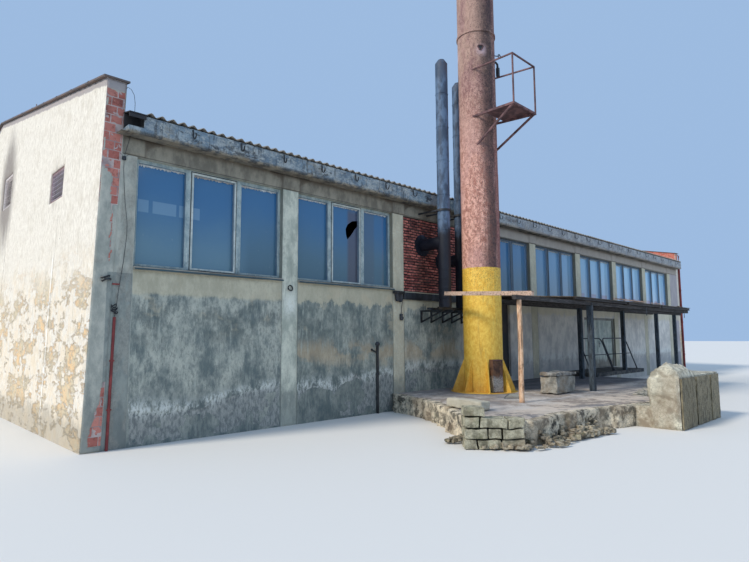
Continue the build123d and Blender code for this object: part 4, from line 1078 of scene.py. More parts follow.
for material, nodes in DRESS:
    for node in nodes.split():
        mesh = bpy.data.objects[node]
        if not mesh.material_slots:
            mesh.data.materials.append(material)
        for place in mesh.material_slots:
            place.link, place.material = "OBJECT", material


# Wall skins
STEP = 0.05


def gable_x(z):
    """The outer face of the leaning gable."""
    return GABLE_FOOT_X + GABLE_LEAN * z


def gable_top(y):
    """The top of the near gable under its coping."""
    return PARAPET_EAVE_Z + ROOF_SLOPE * np.minimum(y, DEPTH - y)


def roof_z(y):
    """The underside of the roof sheets."""
    return EAVE_Z + ROOF_SLOPE * (np.minimum(y, DEPTH - y) + SHEET_OUT)


def canopy_z(y):
    """The underside of the canopy's boards."""
    return 2.96 + 0.065 * (y + 3.7)


def mirrored(surface):
    """The same surface on the back of the building."""
    points = surface.points * (1, -1, 1) + (0, DEPTH, 0)
    return Surface(points, [f[:, ::-1] for f in surface.faces], **surface.values)


def peel(points, size, share, seed):
    """Where the render has come off: 0 on it and 1 where bare, with a steep ragged edge."""
    cloud = noise(points, size, seed, 5)
    return smooth(1 - share - 0.02, 1 - share + 0.02, cloud)


def gable_relief(seam, seed, y, z):
    """Hollows and trowel waves of thick plaster, worn back at the foot, with one upright seam."""
    points = xyz(0, y, z)
    out = 0.014 + waves(points, (0.014, 1.4, seed, 4), (0.007, 0.22, seed + 1, 3))
    low = 1 - smooth(0.2, 1.3, z)
    bare = peel(points, 0.6, 0.3 + 0.12 * low, seed + 2)
    out -= 0.008 * bare
    if seam:
        out += 0.007 * np.exp(-((y - seam) / 0.05) ** 2) * (z < 3.7)
    out = out * (0.1 + 0.9 * smooth(0.0, 0.7, z))
    return out, {"bare": bare}


def gable_skin(step, place, relief, drop, holes=()):
    """Plaster on a gable wall, up to a little under its sloped top."""
    y = line_places(0.004, DEPTH - 0.004, step, [e for hole in holes for e in hole[:2]])
    z = line_places(0.004, gable_top(RIDGE_Y), step, [e for hole in holes for e in hole[2:]])
    return skin(y, z, place, relief, lambda a: gable_top(a) - drop, holes)


def near_gable_skin():
    """Plaster on the leaning gable, between its two louvres' openings."""
    return gable_skin(STEP * 1.3, lambda a, u, out: xyz(gable_x(u) - out, a, u),
                      partial(gable_relief, 2.58, 200), 0.004, LOUVRES)


def far_gable_skin():
    """The same plaster on the far gable, which stands upright, outside and in."""
    return gable_skin(STEP * 2, lambda a, u, out: xyz(FAR_OUTER_X + out * 0.9 - 0.001, a, u),
                      partial(gable_relief, 0, 230), 0.094)


def front_skin(x0, x1, z0, z1, step, relief, holes=(), base=0.0):
    """A skin on a wall that looks along -Y, with its face at base."""
    x = line_places(x0, x1, step, [e for hole in holes for e in hole[:2]])
    z = line_places(z0, z1, step, [e for hole in holes for e in hole[2:]])
    return skin(x, z, lambda a, u, out: xyz(a, base - out, u), relief, None, holes)


def front_relief(seed, x, z):
    """Render on the front: trowel waves, blown patches, a crumbled foot that bites deeper."""
    points = xyz(x, 0, z)
    out = 0.012 + waves(points, (0.012, 0.7, seed, 4), (0.006, 0.12, seed + 1, 3))
    line = 0.62 + 0.05 * x + 0.55 * (noise(points, 0.7, seed + 5, 4) - 0.5)
    line = np.minimum(line, 1.1)
    foot = 1 - smooth(-0.03, 0.03, z - line)
    bare = np.maximum(peel(points, 0.45, 0.3, seed + 2) * 0.2, foot)
    out -= 0.012 * foot + 0.005 * (bare - foot)
    edge = np.exp(-((z - line - 0.06) / 0.13) ** 2)
    out += 0.007 * edge
    return out, {"bare": bare, "edge": edge}


def jambs(bay):
    """The two sides of a bay between its columns."""
    left = FIRST_JAMB if bay == 0 else BAY * bay + COLUMN_HALF
    return left, BAY * (bay + 1) - COLUMN_HALF


@together
def panel_skins():
    """Render on the wall panels under the windows, round the doorways, and at the far corner."""
    for bay in range(BAYS):
        x0, x1 = jambs(bay)
        low = PLATFORM_Z + 0.002 if bay in (2, 3, 4) else FLOOR_Z if bay == 5 else 0.002
        high = 2.966 if bay == 2 else SILL_Z - 0.003
        holes = [h for h in (SHEETED, DOOR) if x0 <= h[0] and h[1] <= x1 + 0.01]
        yield front_skin(x0 + 0.003, x1 - 0.003, low, high, STEP, partial(front_relief, 300 + 7 * bay), holes)
    yield front_skin(BAY * BAYS + COLUMN_HALF + 0.003, FAR_INNER_X - 0.003, 0.002, HEAD_Z - 0.003, STEP,
                     partial(front_relief, 390))


@together
def back_skins():
    """The back's panels, a plainer coat with the same wear."""
    for bay in range(BAYS):
        x0, x1 = jambs(bay)
        yield mirrored(front_skin(x0 + 0.003, x1 - 0.003, 0.002, SILL_Z - 0.003, STEP * 2,
                                  partial(front_relief, 400 + 7 * bay)))


def column_relief(seed, x, z):
    """Render on a column: soft waves, and bites out of both upright edges."""
    points = xyz(x, 0.4, z)
    out = 0.013 + waves(points, (0.008, 0.5, seed, 4), (0.006, 0.1, seed + 1, 3))
    edge = smooth(0.12, COLUMN_HALF, np.abs((x + BAY / 2) % BAY - BAY / 2))
    bare = peel(points, 0.3, 0.22 + 0.26 * edge, seed + 2)
    out -= 0.010 * bare
    return out, {"bare": bare}


@together
def column_skins(step):
    """Render on the eight columns between their panels."""
    for i in range(1, BAYS + 1):
        yield front_skin(BAY * i - COLUMN_HALF + 0.003, BAY * i + COLUMN_HALF - 0.003, 0.002,
                         HEAD_Z - 0.002, step, partial(column_relief, 500 + i))


def beam_relief(x, z):
    """The ring beam: a flat band between columns whose heads stand out and curve into it."""
    points = xyz(x, 0.8, z)
    rise = smooth(5.4, SOFFIT_Z, z)
    reach = COLUMN_HALF + 0.34 * rise ** 2
    away = np.abs((x + BAY / 2) % BAY - BAY / 2)
    head = 1 - smooth(reach, reach + 0.08, away)
    out = 0.004 + 0.030 * head + waves(points, (0.008, 0.4, 540, 4), (0.005, 0.09, 541, 3))
    bare = peel(points, 0.35, 0.27, 542)
    out -= 0.005 * bare
    return out, {"bare": bare, "flank": head * (away > COLUMN_HALF)}


def beam_skin(step):
    """Render on the ring beam over the windows."""
    return front_skin(-0.15, FAR_INNER_X - 0.004, HEAD_Z + 0.002, SOFFIT_Z - 0.002, step, beam_relief)


def red_zone(a, z):
    """Where the bricks of the near gable's end show: all of it above five metres, then a strip by
    the column that narrows to a broken thread, and one wedge at the foot."""
    points = xyz(a, 0, z)
    ragged = 0.12 * (noise(points, 0.13, 551, 5) - 0.5)
    left = 0.02 + 0.20 * (1 - smooth(4.85, 5.05, z + 2 * ragged)) + ragged
    above = smooth(left - 0.008, left + 0.008, a) * smooth(4.3, 4.34, z + ragged)
    above = above * (1 - smooth(6.46, 6.50, z + ragged))
    thread = 1 - smooth(0.008, 0.02, np.abs(a - 0.25 - 0.6 * ragged))
    thread = thread * smooth(3.3, 3.34, z) * smooth(0.44, 0.5, noise(points, 0.3, 555, 3))
    low = smooth(-0.008, 0.008, a - 0.33 + 0.24 * (1 - np.clip((z - 0.1) / 1.1, 0, 1)) + ragged)
    low = low * (z > 0.1) * (z < 1.2)
    return np.maximum(np.maximum(above, thread * (z < 4.4)), low)


def end_relief(a, z):
    """Plaster round the bare bricks of the gable's end."""
    points = xyz(a, 0.3, z)
    out = 0.016 + 0.008 * (noise(points, 0.4, 552, 4) - 0.5)
    red = red_zone(a, z)
    out = out * (1 - red) + WALL_SUNK * red
    edge = red * (1 - red) * 4
    return out, {"bare": np.maximum(edge, peel(points, 0.3, 0.24, 553))}


def near_corner_skins(step):
    """Plaster on the gable's end face, and on the first column beside it."""

    def end_place(a, u, out):
        return xyz(gable_x(u) + a, -out, u)

    def column_place(a, u, out):
        inner = gable_x(u) + GABLE_THICK
        return xyz(inner + a * (FIRST_JAMB - 0.003 - inner), -out, u)

    a = line_places(0.004, GABLE_THICK + 0.014, step)
    end = skin(a, line_places(0.002, 6.68, step), end_place, end_relief)
    share = line_places(0.004, 1.0, step * 3)
    column = skin(share, line_places(0.002, HEAD_Z, step), column_place, partial(column_relief, 560))
    return end + column


def cornice_relief(seed, x, z):
    """Spalled concrete: deep ragged hollows and thick flakes, most of it at the lower edge."""
    points = xyz(x, 0, z)
    out = 0.016 + 0.022 * (noise(points, 0.5, seed, 4) - 0.5)
    out += 0.018 * (noise(points * (1, 1, 1.6), 0.13, seed + 1, 4) - 0.5)
    low = 1 - smooth(SOFFIT_Z, SOFFIT_Z + 0.12, z)
    bare = peel(points, 0.3, 0.36 + 0.15 * low, seed + 2)
    out -= 0.014 * bare
    return np.maximum(out, WALL_SUNK), {"bare": bare}


def cornice_skin(step):
    """The spalled face of the eaves under the sheets."""
    return front_skin(0.098, FAR_INNER_X - 0.005, SOFFIT_Z + 0.002, EAVE_Z, step,
                      partial(cornice_relief, 570), base=-CORNICE_OUT)


def soffit_skin(step):
    """The broken underside of the eaves."""

    def place(a, u, out):
        return xyz(a, -u, SOFFIT_Z - out * 0.8)

    x = line_places(-0.3, FAR_INNER_X - 0.005, step * 1.5)
    y = line_places(0.002, CORNICE_OUT - 0.002, step)
    flipped = skin(x, y, place, partial(cornice_relief, 590))
    return Surface(flipped.points, [f[:, ::-1] for f in flipped.faces], **flipped.values)


# Bricks
def courses(a0, a1, u0, u1, length, height, joint, seed, wander=0.006):
    """Low and high corners of bricks in running bond, two numbers each, along and up."""
    rows = int((u1 - u0) / height)
    lows, highs = [], []
    for row in range(rows):
        start = a0 - (length / 2 if row % 2 else 0)
        count = int(math.ceil((a1 - start) / length))
        left = np.clip(start + length * np.arange(count), a0, a1)
        right = np.clip(left + length - joint, a0, a1)
        right[0] = min(start + length - joint, a1)
        keep = right - left > joint
        jitter = (scatter(count, seed + row, 2) - 0.5) * wander
        low = u0 + row * height + jitter[:, 1]
        lows.append(xyz(left + jitter[:, 0], low)[keep])
        highs.append(xyz(right + jitter[:, 0], low + height - joint)[keep])
    return np.concatenate(lows), np.concatenate(highs)


def infill_bricks():
    """Raw brickwork of bay three, 75 mm courses, each brick set in or out a little."""
    x0, x1 = jambs(2)
    low, high = courses(x0 + 0.012, x1 - 0.012, SILL_Z + 0.012, HEAD_Z, 0.17, 0.078, 0.021, 600, 0.014)
    middle = (low + high) / 2
    away = np.minimum(np.hypot(middle[:, 0] - FLUE_A[0], middle[:, 1] - 4.57), np.hypot(middle[:,
            0] - FLUE_B[0], middle[:, 1] - 4.16))
    front = 0.006 + 0.022 * scatter(len(low), 620)[:, 0]
    front = np.where(away < 0.46, 0.03, front)
    keep = away > 0.22
    low = xyz(low[:, 0], front, low[:, 1])[keep]
    high = xyz(high[:, 0], 0.05, high[:, 1])[keep]
    return boxes(low, high, 0.011, (5, 4, 4), 0.012, 0.05, 621)


def along_lean(surface):
    """Carried along the lean of the near gable: its X counts from the wall's outer face."""
    return surface.moved(lambda p: p + xyz(gable_x(p[:, 2]), 0, 0))


def end_bricks():
    """Hollow bricks that show in the near gable's end where its plaster is gone."""
    beds = ((0.004, 0.004, 4.362, 6.56, 0.009, 640), (0.035, 0.035, 3.2, 4.362, 0.009, 650), (0.08, 0.004,
            0.1, 1.2, 0.004, 660))
    corners = [courses(left, GABLE_THICK - right, z0, z1, 0.205, 0.166, joint, seed) for left, right, z0,
               z1, joint, seed in beds]
    low, high = (np.concatenate([c[side] for c in corners]) for side in (0, 1))
    out = -0.012 + 0.005 * scatter(len(low), 643)[:, 0]
    low = xyz(low[:, 0], out, low[:, 1])
    high = xyz(high[:, 0], 0.02, high[:, 1])
    return along_lean(boxes(low, high, 0.007, (8, 4, 8), 0.010, 0.05, 641))


def end_joints():
    """The mortar between those bricks, a thin bed just behind their faces."""
    beds = ((0.002, 4.362, 0.002, 6.58), (0.035, 3.2, 0.035, 4.37), (0.08, 0.1, 0.002, 1.2))
    low = [(left, -0.004, foot) for left, foot, right, head in beds]
    high = [(GABLE_THICK - right, 0.01, head) for left, foot, right, head in beds]
    return along_lean(boxes(low, high, 0.002, (6, 3, 24), 0.003, 0.05, 645))


def hollow_boards():
    """Boards that show in the broken corner of the eaves: a fascia, and the first boards of the roof,
    flat on its slope; their dark colour is painted shade for the dark hollow."""
    fascia = boxes([(-0.19, -0.318, 5.955), (-0.19, -0.07, 5.80)], [(0.12, -0.288, 6.03), (0.13, -0.03,
            6.07)], 0.004, (8, 3, 4), 0.008, 0.05, 791)
    places = -0.325 + 0.112 * np.arange(4)
    low = xyz(-0.19, places, 0.0)
    high = xyz(0.15, places + 0.104, 0.028)
    slope = boxes(low, high, 0.004, (10, 4, 3), 0.006, 0.06, 792)
    return fascia + slope.moved(lambda p: p + xyz(0, 0, roof_z(p[:, 1])))


def parapet_bricks():
    """Bare bricks on the far gable's inner side above the roof, and on its front end."""
    low, high = courses(0.02, RIDGE_Y, 0.0, 0.46, 0.25, 0.075, 0.012, 680)
    low, high = (xyz(FAR_INNER_X + d, v[:, 0], v[:, 1]) for v, d in ((low, -0.03), (high, 0.01)))
    surface = boxes(low, high, 0.009, (4, 4, 4), 0.008, 0.05, 681)

    def onto_roof(p):
        return p + xyz(0, 0, roof_z(p[:, 1]) + 0.062)

    inner = surface.moved(onto_roof)
    low, high = courses(0.012, 0.322, 5.72, 6.59, 0.25, 0.075, 0.012, 700)
    low, high = (xyz(FAR_INNER_X + v[:, 0], d, v[:, 1]) for v, d in ((low, -0.012), (high, 0.02)))
    return inner + mirrored(inner) + boxes(low, high, 0.009, (4, 4, 4), 0.008, 0.05, 701)


# Roof
WAVE = BAY / 17
WAVE_HEIGHT = 0.022
SHEET_THICK = 0.006
ROOF_ROWS = 8
SHEET_LAP = 0.15


@together
def roof_sheets(points_a_wave):
    """Corrugated sheets in rows up the slope: height is a cosine along the front, and each row
    starts on the one below. The near edge follows the leaning gable; eave ends are ragged."""
    count = int(round((FAR_INNER_X + 0.2) / WAVE * points_a_wave)) + 1
    share = np.linspace(0, 1, count)
    rise = (RIDGE_Y + SHEET_OUT - 0.02) / ROOF_ROWS
    for row in range(ROOF_ROWS):
        y0 = -SHEET_OUT + 0.012 + row * rise - (SHEET_LAP if row else 0)
        y1 = -SHEET_OUT + 0.012 + (row + 1) * rise
        t = np.array([0.0, 0.5, 1.0])
        s, t = np.meshgrid(share, t, indexing="ij")
        sheet = np.floor(s * 33)
        broken = 0.035 * lattice(sheet.astype(int), 0 * sheet.astype(int) + row, 3, 720)
        chips = 0.02 * noise(xyz(s * 30, 0, 0 * s + row), 0.12, 721, 2)
        y = y0 + (broken + chips) * (1 - t) * (1 if row == 0 else 0.4) + (y1 - y0) * t
        start = gable_x(roof_z(y)) + GABLE_THICK + 0.004
        if row == 0:
            start = start + 0.30
        x = start + s * (FAR_INNER_X - 0.004 - start)
        wave = np.cos(2 * math.pi * x / WAVE)
        lift = 0.008 * (1 - t) if row else 0.0
        tall = WAVE_HEIGHT + (0.016 * (1 - t) if row == 0 else 0.0)
        z = roof_z(y) + 0.003 + tall * (1 + wave) + lift
        rim = np.where(t == 0, 1.0, 0.0)
        valley = (1 - wave) / 2
        there, back = (x, y, z), (x, y, z + SHEET_THICK)
        loop, valley, rim = (np.concatenate([a, b[:, ::-1]], 1) for a, b in ((xyz(*there), xyz(*back)),
                (valley, valley), (rim, rim)))
        yield loft(loop, valley=valley, rim=rim)


@together
def ridge_collars():
    """Collars where the ridge pieces overlap: a bent strip over both slopes every 1.1 m."""
    for x in np.arange(0.9, 29.6, 1.1):
        y = np.array([-0.325, -0.16, 0.0, 0.16, 0.325])
        z = roof_z(RIDGE_Y) + 0.056 + 0.029 - ROOF_SLOPE * np.abs(y)
        path = xyz(x, RIDGE_Y + y, z)
        yield tube(path, [(-0.05, -0.008), (0.05, -0.008), (0.045, 0.012), (-0.045, 0.012)])


@together
def gutter_hooks():
    """Old gutter hooks: a flat strap that comes down the eaves, bends out and curls back up."""
    bend = np.array([(0.0, 6.02), (-0.006, 5.97), (-0.012, 5.90), (-0.03, 5.845), (-0.06, 5.82), (-0.095,
            5.83), (-0.122, 5.865), (-0.13, 5.92)])
    tilt = scatter(27, 740, 2)
    for k in range(27):
        x = 1.04 + 1.08 * k + np.linspace(0, 0.05 * (tilt[k, 0] - 0.5), len(bend))
        y = -CORNICE_OUT - 0.024 + bend[:, 0] * (0.8 + 0.3 * tilt[k, 1])
        path = xyz(x, y, bend[:, 1])
        yield tube(path, flat(0.003, 0.015), up=(1, 0, 0))


@together
def coping_folds():
    """Standing folds across the sheet coping, one a metre, and a short rod left on top."""
    for y in np.arange(0.9, DEPTH, 1.15):
        if abs(y - RIDGE_Y) >= 0.2:
            top = gable_top(y) + COPING_TALL
            x0, x1 = gable_x(top) - 0.081, gable_x(top) + GABLE_THICK + 0.056
            path = [(x, y, top + rise) for x, rise in ((x0, -0.03), (x0, 0.004), (x1, 0.004), (x1, -0.03))]
            yield tube(path, flat(0.004, 0.009), up=(0, 1, 0))
    y = 5.2
    top = gable_top(y) + COPING_TALL
    yield rod([(-0.5, y, top - 0.01), (-0.503, y, top + 0.04), (-0.506, y, top + 0.08)], 0.009)


# Windows
FRONT_BAYS = [bay for bay in range(BAYS) if bay != 2]
BOTH_SIDES = ((FRONT_BAYS, lambda surface: surface), (range(BAYS), mirrored))


def pane_edges(bay):
    """Left and right sides of a window's three clear panes."""
    x0, x1 = bay
    clear = (x1 - x0 - 2 * FRAME_EDGE - (PANES - 1) * MULLION) / PANES
    left = x0 + FRAME_EDGE + np.arange(PANES) * (clear + MULLION)
    return left, left + clear


@together
def window_rings(panes, profile):
    """Rings round some panes of every window: seven bays of the front and, mirrored, all eight of
    the back."""
    z0, z1 = SILL_Z + 0.06 + FRAME_EDGE, HEAD_Z - FRAME_EDGE
    for bays, side in BOTH_SIDES:
        left, right = np.concatenate([np.array(pane_edges(jambs(b)))[:, panes] for b in bays], 1)
        yield side(rings(left, right, z0, z1, profile))


def sashes():
    """Each middle pane's own casement, a rounded rim that stands out of the frame."""
    return window_rings([1], [(-0.026, 0.112), (-0.026, 0.098), (-0.020, 0.092), (0.006, 0.092), (0.012,
            0.098), (0.012, 0.180), (0.0, 0.184)])


def frame_beads():
    """A raised bead round the outer panes and down both sides of every post of the windows."""
    return window_rings([0, 2], [(-0.014, 0.112), (-0.014, 0.105), (0.0, 0.102), (0.004, 0.107), (0.005,
            0.178), (-0.004, 0.183)])


def sash_gaps():
    """Painted shade for the gap round each middle casement: a thin dark ring just proud of the frame."""
    return window_rings([1], [(-0.046, 0.112), (-0.046, 0.1065), (-0.031, 0.1065), (-0.031, 0.112)])


def broken_sill():
    """The crumbled black edge under the first window's middle pane."""
    places = 1.35 + 0.095 * np.arange(9)
    low = xyz(places, 0.02, 3.235)
    high = xyz(places + 0.11, 0.105, 3.272 + 0.03 * scatter(9, 773)[:, 0])
    return boxes(low, high, 0.012, (6, 5, 5), 0.014, 0.05, 774)


@together
def putty():
    """Old white putty along the head of each pane, broken into ragged teeth."""
    head = HEAD_Z - FRAME_EDGE
    for number, bay in enumerate(FRONT_BAYS):
        for left, right in zip(*pane_edges(jambs(bay))):
            x = np.arange(left + 0.012, right - 0.012, 0.022)
            teeth = lattice(np.arange(len(x)), 0 * np.arange(len(x)) + number, 7, 760)
            foot = head - (0.020 + 0.042 * teeth ** 1.5)
            z = np.stack([0 * x + head + 0.004, 0 * x + head + 0.002, foot, foot], 1)
            yield loft(xyz(x[:, None], [0.183, 0.158, 0.166, 0.183], z))


@together
def sill_sheets():
    """Bent dark sheet on each sill: a slope out over the wall, a drip, and a turned-up back."""
    y, z = np.array([(0.108, 3.288), (0.108, 3.268), (-0.078, 3.232), (-0.086, 3.205), (-0.081, 3.203),
                     (-0.071, 3.227), (0.103, 3.262), (0.103, 3.288)]).T
    for bays, side in BOTH_SIDES:
        for x0, x1 in map(jambs, bays):
            x = np.linspace(x0 + 0.004, x1 - 0.004, 9)
            sag = 0.007 * (scatter(9, 770 + int(x0 * 7)) - 0.5)
            yield side(loft(xyz(x[:, None], y, z + sag * (y < 0.1))))


# Wires, hooks and pipes
def down_wire():
    """The lightning conductor: out of the parapet, down the first column, into its guard."""
    path = np.array([(-0.15, -0.02, 6.58), (-0.147, -0.05, 6.594), (-0.09, -0.075, 6.56), (-0.035, -0.085,
            6.46), (-0.016, -0.09, 6.30), (-0.018, -0.085, 6.10), (-0.045, -0.07, 5.85), (-0.08, -0.055,
            5.60), (-0.13, -0.045, 5.38), (-0.156, -0.04, 5.23), (-0.15, -0.035, 4.97), (-0.107, -0.03,
            4.46), (-0.05, -0.028, 4.06), (-0.046, -0.028, 3.82), (-0.087, -0.028, 3.32), (-0.14, -0.028,
            2.9), (-0.18, -0.028, 2.5), (-0.2, -0.027, 2.30)])
    t = np.linspace(0, len(path) - 1, 70)
    fine = np.stack([np.interp(t, np.arange(len(path)), path[:, k]) for k in range(3)], 1)
    wire = rod(fine, 0.0045, 6, up=(0, 1, 0.02))
    t = np.linspace(0, 1, 60)
    tangle = xyz(-0.21 + 0.05 * np.sin(t * 17) - 0.02 * t, -0.05 + 0.018 * np.cos(t * 23),
                 2.38 + 0.17 * t + 0.025 * np.sin(t * 31))
    box = boxes((-0.185, -0.055, 5.20), (-0.115, 0.0, 5.28), 0.008, (5, 5, 5), 0.008, 0.04, 785)
    whiskers = [rod([(-0.15, -0.04, 5.26), (-0.15 + dx, -0.07, 5.26 + dz)], 0.004, 5) for dx, dz in ((-0.09,
            0.05), (0.08, 0.06), (-0.07, -0.06))]
    return all_of([wire, rod(tangle, 0.009, 6, up=(0, 1, 0.02)), box] + whiskers)


@together
def wire_clips():
    """Clips that hold the conductor and its guard: a peg out of the wall with a small plate."""
    for x, z, half in ((-0.20, 2.91, 0.065), (-0.215, 1.55, 0.045), (-0.228, 0.7, 0.045)):
        peg = [(x, 0.012, z), (x, -0.03, z), (x, -0.052, z)]
        yield rod(peg, 0.008, up=(0, 0, 1))
        yield boxes((x - half, -0.036, z - 0.014), (x + half, -0.026, z + 0.014), 0.003, (3, 3, 3))


@together
def louvre_fins():
    """Thin fins between the louvres' blades, sagged a little in the far one."""
    blade = [(-0.03, -0.020), (0.034, 0.028), (0.034, 0.032), (-0.03, -0.014)]
    for number, (y0, y1, z0, z1) in enumerate(LOUVRES):
        pitch = (z1 - z0 - 0.1) / 12
        for k in range(2, 12, 2):
            z = z0 + 0.05 + pitch * k
            y = np.linspace(y0 + 0.052, y1 - 0.052, 9)
            sag = (0.02 if number else 0.004) * np.sin(np.linspace(0, 2.6 + k, 9))
            x = gable_x(z) + 0.072 + 0 * y
            yield tube(xyz(x, y, z + sag), blade)


@together
def wall_hooks():
    """A thick ring on the second column, a split bracket on the first, and the dented box with
    its hanging weight beside the brick bay."""
    angle = np.linspace(0.3, 1.75 * math.pi, 22)
    x, z, r = 3.58, 3.06, 0.06
    path = xyz(x + r * np.sin(angle), -0.05 + 0.012 * np.cos(angle), z + r * np.cos(angle))
    yield rod(path, 0.014)
    yield rod([(x, 0.01, z + r), (x, -0.03, z + r), (x, -0.055, z + r - 0.004)], 0.014, up=UP)
    for shift, lift in ((0.0, 0.04), (0.02, -0.02)):
        jaw = [(-0.29 + shift, 0.0, 3.01 + lift), (-0.34 + shift, -0.06, 3.012 + lift * 0.9),
               (-0.41 + shift, -0.075, 2.995 + lift * 0.5), (-0.47 + shift, -0.05, 2.965 + lift)]
        yield tube(jaw, [(-0.004, -0.016), (0.008, -0.012), (0.010, 0.014), (-0.006, 0.018)], up=(0, 0, 1))
    yield boxes((6.97, -0.14, 2.86), (7.31, 0.004, 3.2), 0.05, (11, 7, 10), 0.10, 0.10, 781)
    yield boxes((6.93, -0.12, 3.10), (7.36, -0.03, 3.2), 0.02, (10, 5, 5), 0.03, 0.05, 782)
    yield rod([(7.26, -0.09, 2.9), (7.252, -0.06, 2.72), (7.26, -0.06, 2.55)], 0.009, 6)
    yield boxes((7.18, -0.12, 2.36), (7.33, 0.004, 2.6), 0.05, (7, 6, 8), 0.06, 0.06, 783)


def ball(centre, radius, count=12):
    """A round lump: rings from pole to pole, closed there."""
    polar = np.linspace(0, math.pi, count)[:, None]
    turn = np.arange(2 * count) * math.pi / count
    way = xyz(np.sin(polar) * np.cos(turn), np.sin(polar) * np.sin(turn), np.cos(polar))
    return Surface(np.array(centre) + way * radius, grid_faces(count, 2 * count, False, True))


def stub_fittings():
    """The ball on top of the stub pipe and its short side branch with a closed end."""
    top = ball((6.35, -0.036, 1.765), 0.062)
    branch = rod([(x, -0.036, z) for x, z in ((6.345, 1.545), (6.29, 1.56), (6.23, 1.585), (6.16, 1.615))],
                 0.02, 10)
    cap = ball((6.15, -0.036, 1.62), 0.03, count=8)
    collar = rod([(6.35, -0.036, 0.98), (6.35, -0.036, 1.03)], 0.047, 14)
    return top + branch + cap + collar


@together
def pipe_collars():
    """Sockets of the downpipe at the far corner, and the forked bracket under the eaves."""
    x, y = FAR_OUTER_X - 0.01, -0.0553
    yield from [rod([(x, y, z - 0.05), (x, y, z + 0.05)], 0.065, 18) for z in (0.9, 2.7, 4.5, 5.9)]
    yield rod([(x, y, 6.12), (x, y - 0.02, 6.28), (x - 0.12, y - 0.04, 6.42), (x - 0.26, y - 0.05, 6.5)],
              0.02)
    yield rod([(x, y - 0.02, 6.28), (x + 0.03, y - 0.02, 6.38), (x + 0.05, y - 0.02, 6.5)], 0.016)


# Stack and flues
def ring_tube(centre, radius, thick, count=48, sides=6):
    """A level ring of round wire."""
    angle = np.arange(count) * 2 * math.pi / count
    path = xyz(centre[0] + radius * np.cos(angle), centre[1] + radius * np.sin(angle), np.full(count,
            centre[2]))
    return tube(path, circle(sides, thick), closed=True)


@together
def stack_seams():
    """Weld beads where the stack's plates meet: level rings and staggered upright seams."""
    heights = (0.5, 2.45, 4.48, 6.5, 8.53, 10.59, 12.6, 14.6)
    for z in heights[1:-1]:
        if abs(z - 10.59) > 0.1:
            yield ring_tube((*STACK, z), STACK_R, 0.005, 64)
    for number, (low, high) in enumerate(zip(heights, heights[1:])):
        angle = math.radians(205 + 47 * number)
        z = np.linspace(low + 0.02, high - 0.02, 24)
        path = xyz(STACK[0] + (STACK_R + 0.001) * math.cos(angle) + 0 * z,
                   STACK[1] + (STACK_R + 0.001) * math.sin(angle) + 0 * z, z)
        yield rod(path, 0.007, 6, up=(math.cos(angle), math.sin(angle), 0))


def stack_side(degrees):
    """The way out of the stack at that angle from +X, and the way across it."""
    side = math.radians(degrees)
    out = np.array([math.cos(side), math.sin(side), 0])
    return out, np.array([-out[1], out[0], 0])


@together
def stack_fittings():
    """The rim of the test port's flange, and the soot door's bolts, handle and edge bars."""
    angle = np.arange(20)[:, None] * 2 * math.pi / 20
    out, across = stack_side(228.7)
    centre = np.array([*STACK, 10.07]) + (STACK_R + 0.004) * out
    wobble = 0.072 + 0.012 * np.sin(3 * angle)
    rim = centre + across * wobble * np.cos(angle) + UP * wobble * np.sin(angle)
    yield tube(rim, circle(6, 0.017), up=out, closed=True)
    out, across = stack_side(247.5)
    face = np.array([*STACK, 0]) + 0.69 * out
    for z in (0.62, 1.2):
        for where in (-0.13, 0.13):
            centre = face + across * where + UP * z
            yield rod([centre - 0.012 * out, centre + 0.012 * out], 0.016, up=UP)
    grip = ((-0.08, -0.01), (-0.08, 0.03), (-0.03, 0.045), (0.03, 0.045), (0.08, 0.03), (0.08, -0.01))
    yield rod([face + out * d + across * 0.06 + UP * (0.93 + s) for s, d in grip], 0.009, up=across)
    for z in (0.49, 1.322):
        hinge = boxes((-0.15, -0.012, z - 0.012), (0.15, 0.016, z + 0.012), 0.004, (4, 3, 3))
        yield hinge.moved(lambda p: face + p[:, :1] * across + p[:, 1:2] * out + p[:, 2:] * UP)


@together
def flue_rings():
    """Socket rings of the flues: a bead at each length of pipe, closer on the lagged foot."""
    for x, y, top in ((*FLUE_A, 9.76), (*FLUE_B, 9.40)):
        for z in np.concatenate([np.arange(3.0, 4.0, 0.26), [4.9, 5.2], np.arange(5.9, top - 0.2, 0.98)]):
            yield ring_tube((x, y, z), FLUE_R + 0.001, 0.009, 32)
        wrap = np.linspace(0, 1, 90)
        angle = wrap * 2 * math.pi * 5
        path = xyz(x + (FLUE_R + 0.002) * np.cos(angle), y + (FLUE_R + 0.002) * np.sin(angle),
                   2.86 + 1.0 * wrap)
        yield rod(path, 0.004, 4, up=UP)


@together
def flange_bolts():
    """Hexagon bolt heads round the wall flanges of both ducts."""
    for x, z in ((FLUE_A[0], 4.57), (FLUE_B[0], 4.16)):
        for angle in np.arange(12) * math.pi / 6 + 0.26:
            centre = np.array([x + 0.27 * math.cos(angle), 0.0, z + 0.27 * math.sin(angle)])
            yield rod([centre + (0, 0.018, 0), centre + (0, 0.002, 0)], 0.016, 6, up=UP)


